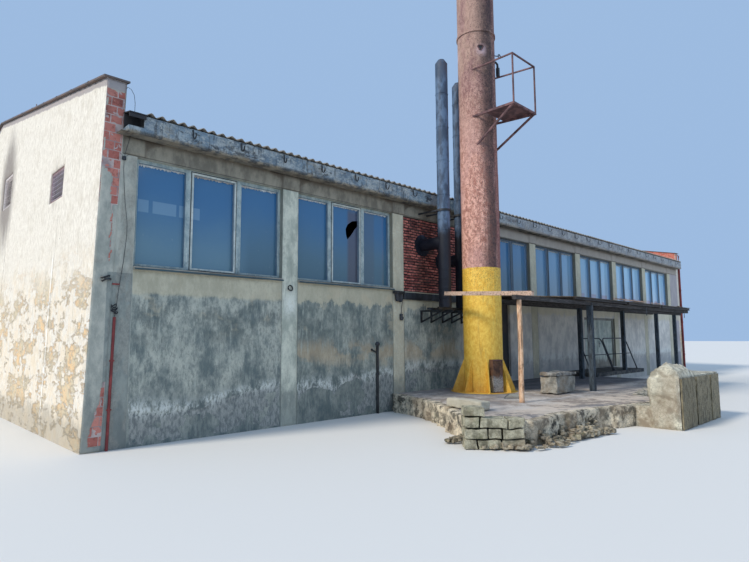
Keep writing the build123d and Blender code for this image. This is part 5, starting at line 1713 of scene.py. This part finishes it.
@together
def hoist_eye():
    """The hoist eye beside the stack, the short block that hangs under it, and the dark bore of
    the test port."""
    angle = np.arange(20) * 2 * math.pi / 20
    eye = xyz(9.70 + 0.055 * np.cos(angle), -1.8, 10.14 + 0.055 * np.sin(angle))
    yield tube(eye, circle(7, 0.016), up=(0, 1, 0), closed=True)
    yield rod([(9.48, -1.66, 10.14), (9.58, -1.73, 10.14), (9.66, -1.78, 10.14)], 0.014, up=UP)
    yield rod([(9.5, -1.69, 9.93), (9.56, -1.76, 9.92), (9.60, -1.79, 9.86), (9.6, -1.80, 9.7)], 0.032, 10,
              up=(0, 1, 0.2))
    yield rod([(9.6, -1.80, 9.74), (9.6, -1.80, 9.66), (9.6, -1.80, 9.5)], 0.055, 12)
    out, _ = stack_side(228.7)
    centre = np.array([*STACK, 10.07])
    yield rod([centre + (STACK_R - 0.02) * out, centre + (STACK_R + 0.004) * out], 0.062, 20, up=UP)


# Canopy
def on_canopy(surface):
    """Laid on the canopy's slope: heights count from the underside of its boards."""
    return lifted(surface, lambda x, y: canopy_z(y))


@together
def canopy_boards():
    """Roof boards laid along the canopy with narrow gaps, butted over the rafters; their ends
    and edges are ragged and each lies a little up or down."""
    for joints, y0, y1, seed in (
            ((9.98, 13.6, 16.4, 19.4), -3.7, -0.06, 800), ((19.4, 21.9, 23.9, 25.9), -1.55, -0.06, 820)):
        for number, y in enumerate(np.arange(y0, y1 - 0.05, 0.146)):
            jitter = scatter(len(joints), seed + number, 3)
            x0, x1 = np.array(joints[:-1]) + 0.004, np.array(joints[1:]) - 0.004
            x0[0] += 0.10 * jitter[0, 0]
            x1[-1] -= (0.16 if y0 < -2 else 0.22) * jitter[1, 0]
            high = xyz(x1, y + min(0.137, y1 - y), 0.024 + 0.007 * jitter[:-1, 1])
            yield on_canopy(boxes(xyz(x0, y, 0.001), high, 0.004, (12, 4, 4), 0.006, 0.06,
                                  seed + 40 + number))


@together
def canopy_litter():
    """Broken boards and a batten that lie loose on the canopy."""
    bits = ((14.7, -3.55, 1.15, 0.09, 8), (16.9, -3.45, 0.9, 0.12, -6), (18.2, -3.62, 0.7, 0.05, 22), (17.6,
            -2.4, 1.6, 0.14, 3), (12.4, -2.2, 1.9, 0.05, 14), (15.6, -1.5, 1.2, 0.1, -30), (18.9, -3.2, 0.8,
            0.1, 76), (23.4, -1.2, 1.3, 0.1, 5), (25.1, -1.0, 0.7, 0.08, 40))
    for number, (x, y, length, wide, turn) in enumerate(bits):
        bit = boxes((-length / 2, -wide / 2, 0.0), (length / 2, wide / 2, 0.024), 0.004, (10, 4, 4), 0.006,
                    0.05, 860 + number)
        yield on_canopy(turned(bit, math.radians(turn), x, y, 0.0285))


def under_boards():
    """Battens and boards that hang under the front edge of the canopy."""
    x0, x1, y, drop = np.array([(10.02, 13.4, -3.685, 0.05), (13.5, 16.3, -3.69, 0.06), (16.4, 19.3, -3.685,
            0.07), (19.5, 22.6, -1.535, 0.05), (22.7, 25.8, -1.54, 0.06)]).T
    low, high = xyz(x0, y, canopy_z(y) - drop - 0.012), xyz(x1, y + 0.05, canopy_z(y) - 0.0005)
    return boxes(low, high, 0.005, (24, 4, 5), 0.01, 0.08, 884)


@together
def edge_boards():
    """Pale split boards on the canopy's front edges, some lying loose on top."""
    rows = np.array([(12.25, 14.7, -3.76, 0.035, 0.085), (15.2, 16.1, -3.75, 0.03, 0.07), (20.2, 25.85,
            -1.6, -0.05, 0.012), (19.6, 21.2, -1.59, 0.02, 0.05)]).T
    x0, x1, y, low, high = rows
    yield boxes(xyz(x0, y, canopy_z(y) + low), xyz(x1, y + 0.03, canopy_z(y) + high), 0.006, (30, 4, 5),
                0.014, 0.12, 887)
    for number, (x, y, length, turn, rise) in enumerate((
            (21.0, -1.2, 0.9, 8, 0.05), (22.4, -1.0, 0.8, -14, 0.11), (23.6, -1.25, 0.7, 22, 0.07),
            (24.6, -0.9, 0.9, -6, 0.09), (25.2, -1.3, 0.5, 30, 0.05))):
        bit = boxes((-length / 2, -0.07, 0.0), (length / 2, 0.07, 0.03), 0.006, (14, 5, 4), 0.014, 0.08,
                    889 + number)
        tipped = lifted(bit, lambda u, v: 0.03 + rise * (u / length + 0.5))
        yield on_canopy(turned(tipped, math.radians(turn), x, y))


@together
def beam_straps():
    """Iron straps and nails over the joints of posts and beams."""
    for x, y in ((11.1, -3.55), (15.1, -3.55), (18.85, -3.55), (22.6, -1.36), (25.0, -1.36)):
        top = canopy_z(y) - 0.08 - 0.03
        yield boxes((x - 0.03, y - 0.076, top - 0.26), (x + 0.03, y - 0.068, top), 0.003, (3, 3, 5))
        for drop in (0.05, 0.2):
            yield rod([(x, y - 0.072, top - drop), (x, y - 0.086, top - drop)], 0.010, 6, up=UP)


# Platform, pier, dock and landing
def along_outline(outline, step):
    """Places along a polyline about a step apart, their way outwards, and the distance run."""
    outline = np.array(outline)
    parts, ways, runs, run = [], [], [], 0.0
    for start, end in zip(outline[:-1], outline[1:]):
        length = np.linalg.norm(end - start)
        count = max(2, int(length / step))
        t = np.arange(count)[:, None] / count
        parts.append(start + (end - start) * t)
        way = np.array([end[1] - start[1], start[0] - end[0]]) / length
        ways.append(np.repeat(way[None], count, 0))
        runs.append(run + length * t[:, 0])
        run += length
    parts, ways = np.concatenate(parts), np.concatenate(ways)
    padded = np.pad(ways, ((6, 6), (0, 0)), "edge")
    soft = sum(padded[k:k + len(ways)] for k in range(13)) / 13
    return parts, soft / np.linalg.norm(soft, axis=1, keepdims=True), np.concatenate(runs)


def platform_edge():
    """The platform's broken edge: a slab lip above, hollowed rubble below. Around the outline the
    reach is a sum of noises, larger where stones bulge; its top lies on the platform."""
    places, ways, run = along_outline(PLATFORM_EDGE, 0.035)
    height = np.array([0.0, 0.05, 0.1, 0.15, 0.2, 0.25, 0.29, 0.32, 0.35, 0.38, 0.41, 0.435, 0.452, 0.456,
                       0.452, 0.44])
    inset = np.array([0, 0, 0, 0, 0, 0, 0, 0, 0, 0, 0, 0, 0.02, 0.12, 0.22, 0.28])
    points = xyz(run[:, None] + 0 * height, 0 * run[:, None] + height, 0 * run[:, None] * height)
    lumps = noise(points * (1, 1.3, 1), 0.24, 900, 4)
    broad = noise(points, 1.1, 901, 3)
    lip = smooth(0.29, 0.33, height)[None, :]
    under = 1 - lip
    reach = 0.03 + lip * (0.10 * broad + 0.05 * noise(points * (1, 0.2, 1), 0.16, 902, 3))
    reach = reach + under * (0.24 * (lumps - 0.25) * broad + 0.03)
    bits = noise(points * (1, 0.15, 1), 0.5, 903, 3)
    reach = reach * (0.35 + 0.9 * smooth(0.35, 0.6, bits))
    reach = np.where(inset[None, :] > 0, reach * 0.75 - inset[None, :], reach)
    z = height[None, :] + 0.010 * (noise(points, 0.2, 904, 3) - 0.5) * (inset[None, :] > 0)
    end = smooth(0, 0.25, run) * (1 - smooth(run[-1] - 0.25, run[-1], run))
    reach = reach * np.where(inset[None, :] > 0, 1.0, end[:, None])
    xy = places[:, None, :] + ways[:, None, :] * reach[..., None]
    low = places[:, 1] > -0.01
    xy[low, :, 1] = np.minimum(xy[low, :, 1], -0.001)
    shade = noise(points, 0.3, 905, 2)
    return Surface(np.concatenate([xy, z[..., None]], 2), grid_faces(len(run), len(height))[:, ::-1],
                   shade=np.broadcast_to(shade, z.shape))


def inside(polygon, x, y):
    """Where points lie inside a polygon: the sign flips at each edge crossed."""
    result = np.zeros(x.shape, bool)
    for (x0, y0), (x1, y1) in zip(polygon, polygon[1:] + polygon[:1]):
        if y0 != y1:
            across = ((y0 > y) != (y1 > y)) & (x < x0 + (y - y0) * (x1 - x0) / (y1 - y0))
            result ^= across
    return result


def platform_skin():
    """The platform's top: worn asphalt, sunk where puddles stand, gritty and cracked."""
    step = STEP * 1.4
    x, y = np.meshgrid(np.arange(4.4, 16.6, step), np.arange(-5.5, -0.004, step), indexing="ij")
    points = xyz(x, y, 0)
    out = 0.010 + 0.014 * (noise(points, 0.9, 910, 4) - 0.5) + 0.008 * noise(points, 0.13, 911, 3)
    cracks = np.abs(noise(points, 0.8, 912, 3) - 0.5)
    out -= 0.01 * (1 - smooth(0.0, 0.02, cracks))
    faces = grid_faces(*x.shape)[:, ::-1]
    ok = inside(list(PLATFORM_EDGE), x, y).ravel()
    faces = faces[ok[faces].all(1)]
    count = np.bincount(faces.ravel(), minlength=x.size)
    rim = (count < 4).reshape(x.shape)
    z = PLATFORM_Z + np.where(rim, -0.004, out)
    used, numbered = np.unique(faces, return_inverse=True)
    return Surface(xyz(x, y, z).reshape(-1, 3)[used], numbered.reshape(faces.shape))


DOCK = (8.85, 11.6, -6.4, -5.8, 1.075)
PIER_TURN = math.radians(-47)
PIER_CENTRE = (4.685, -4.62)
PIER_COURSE = 0.1825


def uneven_joints(p):
    """Each point moved along the pier and up or down by smooth noise that fades at the foot."""
    fade = smooth(0.0, 0.15, p[:, 2])
    along = (noise(p, 0.3, 935) - 0.5) * 0.07
    lift = (noise(p, 0.27, 936, 2) - 0.58) * 0.075
    return p + xyz(along * fade, 0, lift * fade)


def pier_stones():
    """Rough blocks of the loose pier, four uneven courses with thin joints, the top one partly
    fallen. A block's faces are its box less a few millimetres to centimetres of noise."""
    splits = ((0.0, 0.26, 0.66, 1.08), (0.0, 0.44, 0.68, 1.08), (0.0, 0.3, 0.78, 1.08), (0.0, 0.4))
    lows, highs = [], []
    for course, cuts in enumerate(splits):
        for number, (u0, u1) in enumerate(zip(cuts, cuts[1:])):
            wander = scatter(4, 920 + course * 5 + number, 2)
            lows.append((u0 + 0.001 + 0.003 * wander[0, 0] - 0.54, -0.23 + 0.03 * wander[1, 0],
                         course * PIER_COURSE + 0.0015))
            highs.append((u1 - 0.001 - 0.54, 0.23 - 0.03 * wander[2, 0], (course + 1) * PIER_COURSE - 0.001))
    stones = boxes(lows, highs, 0.018, (16, 12, 10), 0.025, 0.09, 921)
    return turned(stones.moved(uneven_joints), PIER_TURN, *PIER_CENTRE)


@together
def pier_rubble():
    """Mossy broken stones banked against the foot of the pier and of the platform's near edge:
    rounded boxes with deep noise, each turned, smaller and higher as they lie nearer the wall."""
    places, ways, _ = along_outline(PLATFORM_EDGE, 0.02)
    near = (places[:, 1] < -3.9) & (places[:, 0] < 7.6)
    places, ways = places[near], ways[near]
    for number, (a, b, c, d, e, f) in enumerate(scatter(300, 926, 6)):
        out = 0.02 + 0.5 * b ** 1.4
        size = 0.045 + 0.055 * c + 0.04 * out
        stone = boxes((-size, -size * 0.8, 0.0), (size, size * 0.8, size * (1.1 + 0.5 * d)), size * 0.45,
                      (6, 6, 5), size * 0.8, size * 0.8, 1700 + number)
        spot = int(a * (len(places) - 1))
        yield turned(stone, e * math.pi, *(places[spot] + ways[spot] * out), max(0.0, 0.27 - 0.8 * out) * f)


def plinth_blocks():
    """The concrete plinth with its thicker pale top slab, and the kerb lump beside the stack."""
    body = boxes((9.38, -3.43, PLATFORM_Z - 0.01), (10.47, -2.87, 0.96), 0.07, (22, 14, 12), 0.10, 0.16, 931)
    slab = boxes((9.352, -3.447, 0.88), (10.498, -2.853, 1.07), 0.07, (28, 16, 10), 0.11, 0.16, 932)
    x, y = 5.65 - 5.8, -3.85 + 2.8
    kerb = boxes((0.0, -0.17, 0.0), (math.hypot(x, y), 0.17, 0.24), 0.06, (26, 10, 8), 0.06, 0.16, 933)
    kerb = turned(kerb, math.atan2(y, x), 5.8, -2.8, PLATFORM_Z - 0.004)
    kerb.values["shade"] = np.full(len(kerb.points), 3.0)
    return body + slab + kerb


def dock_skins():
    """The dock's sandy top with a low heap at its left, and its lumpy whitish faces."""
    x0, x1, y0, y1, top_z = DOCK
    x, y = line_places(x0, x1, STEP * 0.8), line_places(y0, y1, STEP * 0.8)
    z = line_places(0.002, top_z - 0.002, STEP * 0.8)

    def top_relief(a, u):
        points = xyz(a, u, 0)
        out = 0.012 + 0.02 * (noise(points, 0.5, 941, 4) - 0.5) + 0.01 * noise(points, 0.1, 942, 3)
        heap = np.exp(-((a - x0 - 0.45) / 0.75) ** 2 - ((u - (y0 + y1) / 2) / 0.3) ** 2)
        out = out + 0.26 * heap * (0.6 + 0.8 * noise(points, 0.16, 947, 3))
        return out, {"shade": noise(points, 0.4, 943, 3)}

    def face_relief(a, u):
        points = xyz(0, a, u)
        high = smooth(0.62, 0.7, u + 0.25 * (noise(points, 0.3, 944, 3) - 0.5))
        out = 0.01 + 0.05 * high * noise(points, 0.3, 945, 4) + 0.035 * noise(points, 0.14, 946, 4)
        return out, {"shade": high}

    top = skin(x, y, lambda a, u, out: xyz(a, u, top_z - 0.004 + np.maximum(out, -0.004)), top_relief)
    left = skin(y, z, lambda a, u, out: xyz(x0 - out * 1.2, a, u), face_relief)
    right = skin(y, z, lambda a, u, out: xyz(x1 + out, a, u), face_relief)
    back = skin(x, line_places(PLATFORM_Z + 0.002, top_z - 0.002, STEP * 1.5), lambda a, u, out: xyz(a,
            y1 + out, u), face_relief)
    return top + left + right + back


def dock_boards():
    """The dock's three wide upright planks, cupped and split, with worn ends."""
    planks = ((0.003, 0.92, 1.064), (0.983, 1.99, 1.056), (2.053, 2.68, 1.048))
    low = [(DOCK[0] + x0, DOCK[2] - 0.059, 0.002) for x0, x1, z in planks]
    high = [(DOCK[0] + x1, DOCK[2] - 0.002, z) for x0, x1, z in planks]
    return boxes(low, high, 0.012, (22, 4, 40), 0.026, 0.07, 951)


@together
def rail_feet():
    """Foot plates of the landing's bent rails with two bolts each."""
    for x in (16.2, 18.13, 18.23, 20.52):
        yield boxes((x - 0.05, -1.25, 0.5985), (x + 0.05, -1.15, 0.61), 0.003, (3, 3, 3))
        for dx in (-0.034, 0.034):
            yield rod([(x + dx, -1.2, 0.605), (x + dx, -1.2, 0.62)], 0.009, 6)


@together
def bent_rails():
    """The landing's rails: a leaning hoop of tube, two legs and a head joined by quarter circles,
    with a thinner rail across at half height."""
    reach, bend = math.hypot(0.45, 1.25), 0.2

    def leaning(x, along):
        return xyz(x, -1.2 + 0.45 * along / reach, 0.6 + 1.25 * along / reach)

    turn = np.linspace(0, math.pi / 2, 9)
    for x0, x1 in ((16.2, 18.13), (18.23, 20.52)):
        up = np.linspace(0.001, reach - bend - 0.02, 5)
        x = np.concatenate([0 * up + x0, x0 + bend * (1 - np.cos(turn)), [(x0 + x1) / 2],
                            x1 - bend * (1 - np.cos(turn[::-1])), 0 * up + x1])
        along = np.concatenate([up, reach - bend * (1 - np.sin(turn)), [reach],
                                reach - bend * (1 - np.sin(turn[::-1])), up[::-1]])
        yield rod(leaning(x, along), 0.024, 14, up=(0, -1.25, 0.45))
        across = np.array([x0, (x0 + x1) / 2, x1])
        yield rod(leaning(across, np.full(3, reach / 2)), 0.019, 10, up=(0, -1.25, 0.45))


def crooked_post():
    """The near timber post: a thin peeled pole, its middle line bowed a little to each side and
    its radius one of waves and splits round the height."""
    z = np.linspace(PLATFORM_Z + 0.001, canopy_z(-3.6) - 0.181, 40)[:, None]
    t = (z - z[0]) / (z[-1] - z[0])
    sway = np.sin(t * math.pi)
    x = 7.46 + 0.022 * sway * np.sin(4 * t)
    y = -3.55 + 0.018 * sway * np.cos(3 * t)
    angle = np.arange(18) * 2 * math.pi / 18
    points = xyz(np.cos(angle), np.sin(angle), z) * (0.2, 0.2, 1)
    radius = 0.062 + 0.010 * (noise(points, 0.3, 961, 3) - 0.5) - 0.008 * t
    rows = xyz(x + radius * np.cos(angle), y + radius * np.sin(angle), z)
    ring = np.arange(18)
    return Surface(rows, [grid_faces(40, 18, False, True), ring[::-1][None], (ring + 39 * 18)[None]])


def fallen_grating():
    """A bar grating that lies on the platform: two side flats with round bars across."""
    flats = [boxes((0.0, v - 0.006, -0.006), (0.95, v + 0.006, 0.03), 0.002, (6, 3, 3)) for v in (0.0, 0.32)]
    bars = [rod([(u, 0.0, 0.012), (u, 0.32, 0.012)], 0.008, 6, UP) for u in np.linspace(0.03, 0.92, 12)]
    return turned(all_of(flats + bars), 0.45, 7.95, -3.15, PLATFORM_Z + 0.022)


# Door
@together
def door_panels(x0, x1):
    """A leaf's face: a raised rim, a cross rail, and pressed ribs on both fields."""
    z0, z1, y = 0.608, 2.642, 0.125
    rim = [(0.004, y + 0.004), (0.004, y - 0.010), (0.012, y - 0.014), (0.085, y - 0.014), (0.093,
            y - 0.008), (0.093, y + 0.004)]
    yield rings(x0, x1, z0, z1, rim)
    yield boxes((x0 + 0.088, y - 0.013, 1.52), (x1 - 0.088, y + 0.004, 1.64), 0.004, (4, 3, 3))
    ribs = np.arange(x0 + 0.2, x1 - 0.15, 0.16)
    for low, high in ((z0 + 0.13, 1.49), (1.67, z1 - 0.13)):
        starts = xyz(ribs, y - 0.007, low)
        ends = xyz(ribs + 0.05, y + 0.004, high)
        yield boxes(starts, ends, 0.004, (4, 3, 4))


def door_handle(x):
    """The lever handle with its long plate."""
    y = 0.111
    plate = boxes((x - 0.022, y - 0.006, 1.46), (x + 0.022, y + 0.004, 1.72), 0.003, (3, 3, 4))
    lever = rod([(x, y - 0.002, 1.62), (x, y - 0.035, 1.62), (x, y - 0.055, 1.62)], 0.010, up=UP)
    grip = rod([(x + 0.004, y - 0.05, 1.62), (x - 0.05, y - 0.056, 1.618), (x - 0.12, y - 0.052, 1.612)],
               0.009, up=UP)
    return plate + lever + grip


# The building's pieces
FINE = STEP * 0.7
piece("gable_plaster_skin", near_gable_skin(), GABLE, "skin")
piece("far_gable_plaster_skin", far_gable_skin(), GABLE, "skin")
piece("panel_render_skin", panel_skins(), FACADE, "skin")
piece("back_render_skin", back_skins(), FACADE, "skin")
piece("column_render_skin", column_skins(FINE), COLUMN, "skin")
piece("back_column_skin", mirrored(column_skins(FINE * 2)), COLUMN, "skin")
piece("beam_render_skin", beam_skin(FINE), COLUMN, "skin")
piece("back_beam_skin", mirrored(beam_skin(FINE * 2)), COLUMN, "skin")
piece("corner_plaster_skin", near_corner_skins(STEP * 0.5), COLUMN, "skin")
piece("cornice_face", cornice_skin(FINE * 0.8), CORNICE, "skin")
piece("cornice_soffit", soffit_skin(FINE), CORNICE, "skin")
piece("back_cornice_face", mirrored(cornice_skin(FINE * 2)), CORNICE, "skin")
piece("infill_bricks", infill_bricks(), BRICK, "brick")
piece("gable_end_bricks", end_bricks(), PALE_BRICK, "brick")
piece("gable_end_joints", end_joints(), PALE_MORTAR, "brick")
# The dark sheet on these boards is painted shade for the hollow corner.
piece("hollow_boards", hollow_boards(), DARK_SHEET_AND_SHADE)
piece("far_parapet_bricks", parapet_bricks(), SUNNY_BRICK, "brick")
sheets = roof_sheets(8)
piece("front_roof_sheets", sheets, SHEETS, "round", replaces=("front_roof",))
piece("back_roof_sheets", mirrored(sheets), SHEETS, "round", replaces=("back_roof",))
piece("ridge_collars", ridge_collars(), SHEETS)
piece("gutter_hooks", gutter_hooks(), BLACK)
piece("coping_folds", coping_folds(), COPING)
piece("louvre_fins", louvre_fins(), LOUVRE_METAL)
piece("window_sashes", sashes(), SASH)
# A dark ring painted as the shade in the gaps round the casements.
piece("sash_gaps", sash_gaps(), DARK_SHEET_AND_SHADE)
piece("broken_sill", broken_sill(), BLACK)
piece("window_beads", frame_beads(), TIMBER)
piece("window_putty", putty(), PUTTY)
piece("sill_sheets", sill_sheets(), SILL_SHEET)
piece("conductor_wire", down_wire(), BLACK, "round")
piece("conductor_clips", wire_clips(), RED)
piece("wall_hooks", wall_hooks(), BLACK, "round")
piece("stub_pipe_fittings", stub_fittings(), BLACK, "round")
piece("downpipe_sockets", pipe_collars(), RED)
piece("stack_weld_beads", stack_seams(), STACK_COAT, "round")
piece("stack_fittings", stack_fittings(), RUSTY)
piece("hoist_eye", hoist_eye(), BLACK)
piece("flue_rings", flue_rings(), FLUE_COAT, "round")
piece("flange_bolts", flange_bolts(), BLACK)
piece("canopy_boards", canopy_boards(), BOARDS, replaces=("canopy_roof",))
piece("canopy_litter", canopy_litter(), BOARDS)
piece("canopy_edge_battens", under_boards(), BEAMS)
piece("canopy_edge_boards", edge_boards(), PALE_BEAM)
piece("post_straps", beam_straps(), BLACK)
piece("platform_rubble_edge", platform_edge(), RUBBLE, "skin")
piece("platform_worn_top", platform_skin(), TOP, "skin")
piece("pier_stones", pier_stones(), STONE, replaces=("stone_pier",))
piece("pier_rubble", pier_rubble(), BANK, "round")
piece("plinth_blocks", plinth_blocks(), PLINTH, replaces=("concrete_blocks",))
piece("dock_rough_faces", dock_skins(), BLOCK, "skin")
piece("dock_boards", dock_boards(), PLANK, replaces=("dock_timbers",))
piece("bent_rails", bent_rails(), BLACK, "round", replaces=("landing_rails",))
piece("rail_feet", rail_feet(), BLACK)
piece("crooked_post", crooked_post(), PEACH, "round", replaces=("timber_post",))
piece("fallen_grating", fallen_grating(), FRAME_SHEET)
piece("left_leaf_panels", door_panels(18.446, 19.871), DOOR_COAT, body="leaf_left")
piece("right_leaf_panels", door_panels(19.879, 21.304), DOOR_COAT, body="leaf_right")
piece("leaf_handle", door_handle(19.94), BLACK, body="leaf_right")


# Floor, light and camera
def stage_floor():
    """A plain pale floor at the lowest ground."""
    bpy.ops.mesh.primitive_plane_add(size=400, location=(12, 0, -0.002))
    floor = bpy.context.object
    floor.name = "stage_floor"
    p = Paint("stage_pale")
    p.colour = rgb(222, 219, 213)
    floor.data.materials.append(p.finish(0.95))
    floor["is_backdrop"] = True


def sun(name, azimuth, height, strength, spread, colour):
    """A far soft light from that compass side, counted from +X towards +Y."""
    data = bpy.data.lights.new(name, "SUN")
    data.energy, data.angle, data.color = strength, math.radians(spread), colour
    made = bpy.data.objects.new(name, data)
    made.rotation_euler = (math.radians(90 - height), 0, math.radians(azimuth + 90))
    bpy.context.scene.collection.objects.link(made)
    return made


def world_light(colour, strength):
    """An even light of one colour from all round."""
    world = bpy.data.worlds.new("studio")
    world.use_nodes = True
    back = world.node_tree.nodes["Background"]
    back.inputs["Color"].default_value = colour
    back.inputs["Strength"].default_value = strength
    bpy.context.scene.world = world


def camera():
    """The view of the photograph: where it stood, how it was turned, and how wide it saw."""
    yaw, pitch, roll = (math.radians(a) for a in (44.225, 5.806, -0.254))
    ahead = np.array([math.sin(yaw) * math.cos(pitch), math.cos(yaw) * math.cos(pitch), math.sin(pitch)])
    right = np.array([math.cos(yaw), -math.sin(yaw), 0.0])
    up = np.cross(right, ahead)
    right, up = (math.cos(roll) * right + math.sin(roll) * up,
                 -math.sin(roll) * right + math.cos(roll) * up)
    data = bpy.data.cameras.new("photo_camera")
    focal_px, photo_px, sensor_mm = 550, 749, 36
    data.lens, data.sensor_width, data.clip_end = focal_px / photo_px * sensor_mm, sensor_mm, 400
    made = bpy.data.objects.new("photo_camera", data)
    turn = np.stack([right, up, -ahead], 1)
    place = np.eye(4)
    place[:3, :3], place[:3, 3] = turn, (-3.717, -10.28, 1.948)
    made.matrix_world = mathutils.Matrix(place.tolist())
    bpy.context.scene.collection.objects.link(made)
    bpy.context.scene.camera = made


stage_floor()
world_light(rgb(168, 200, 240), 0.85)
sun("key_light", 168, 38, 2.75, 12, (1.0, 0.93, 0.82))
sun("fill_light", 262, 30, 0.3, 60, (0.96, 0.98, 1.0))
bpy.context.scene.view_settings.view_transform = "Standard"
camera()

[[list(side) for side in box] for box in (cad_box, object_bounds())]
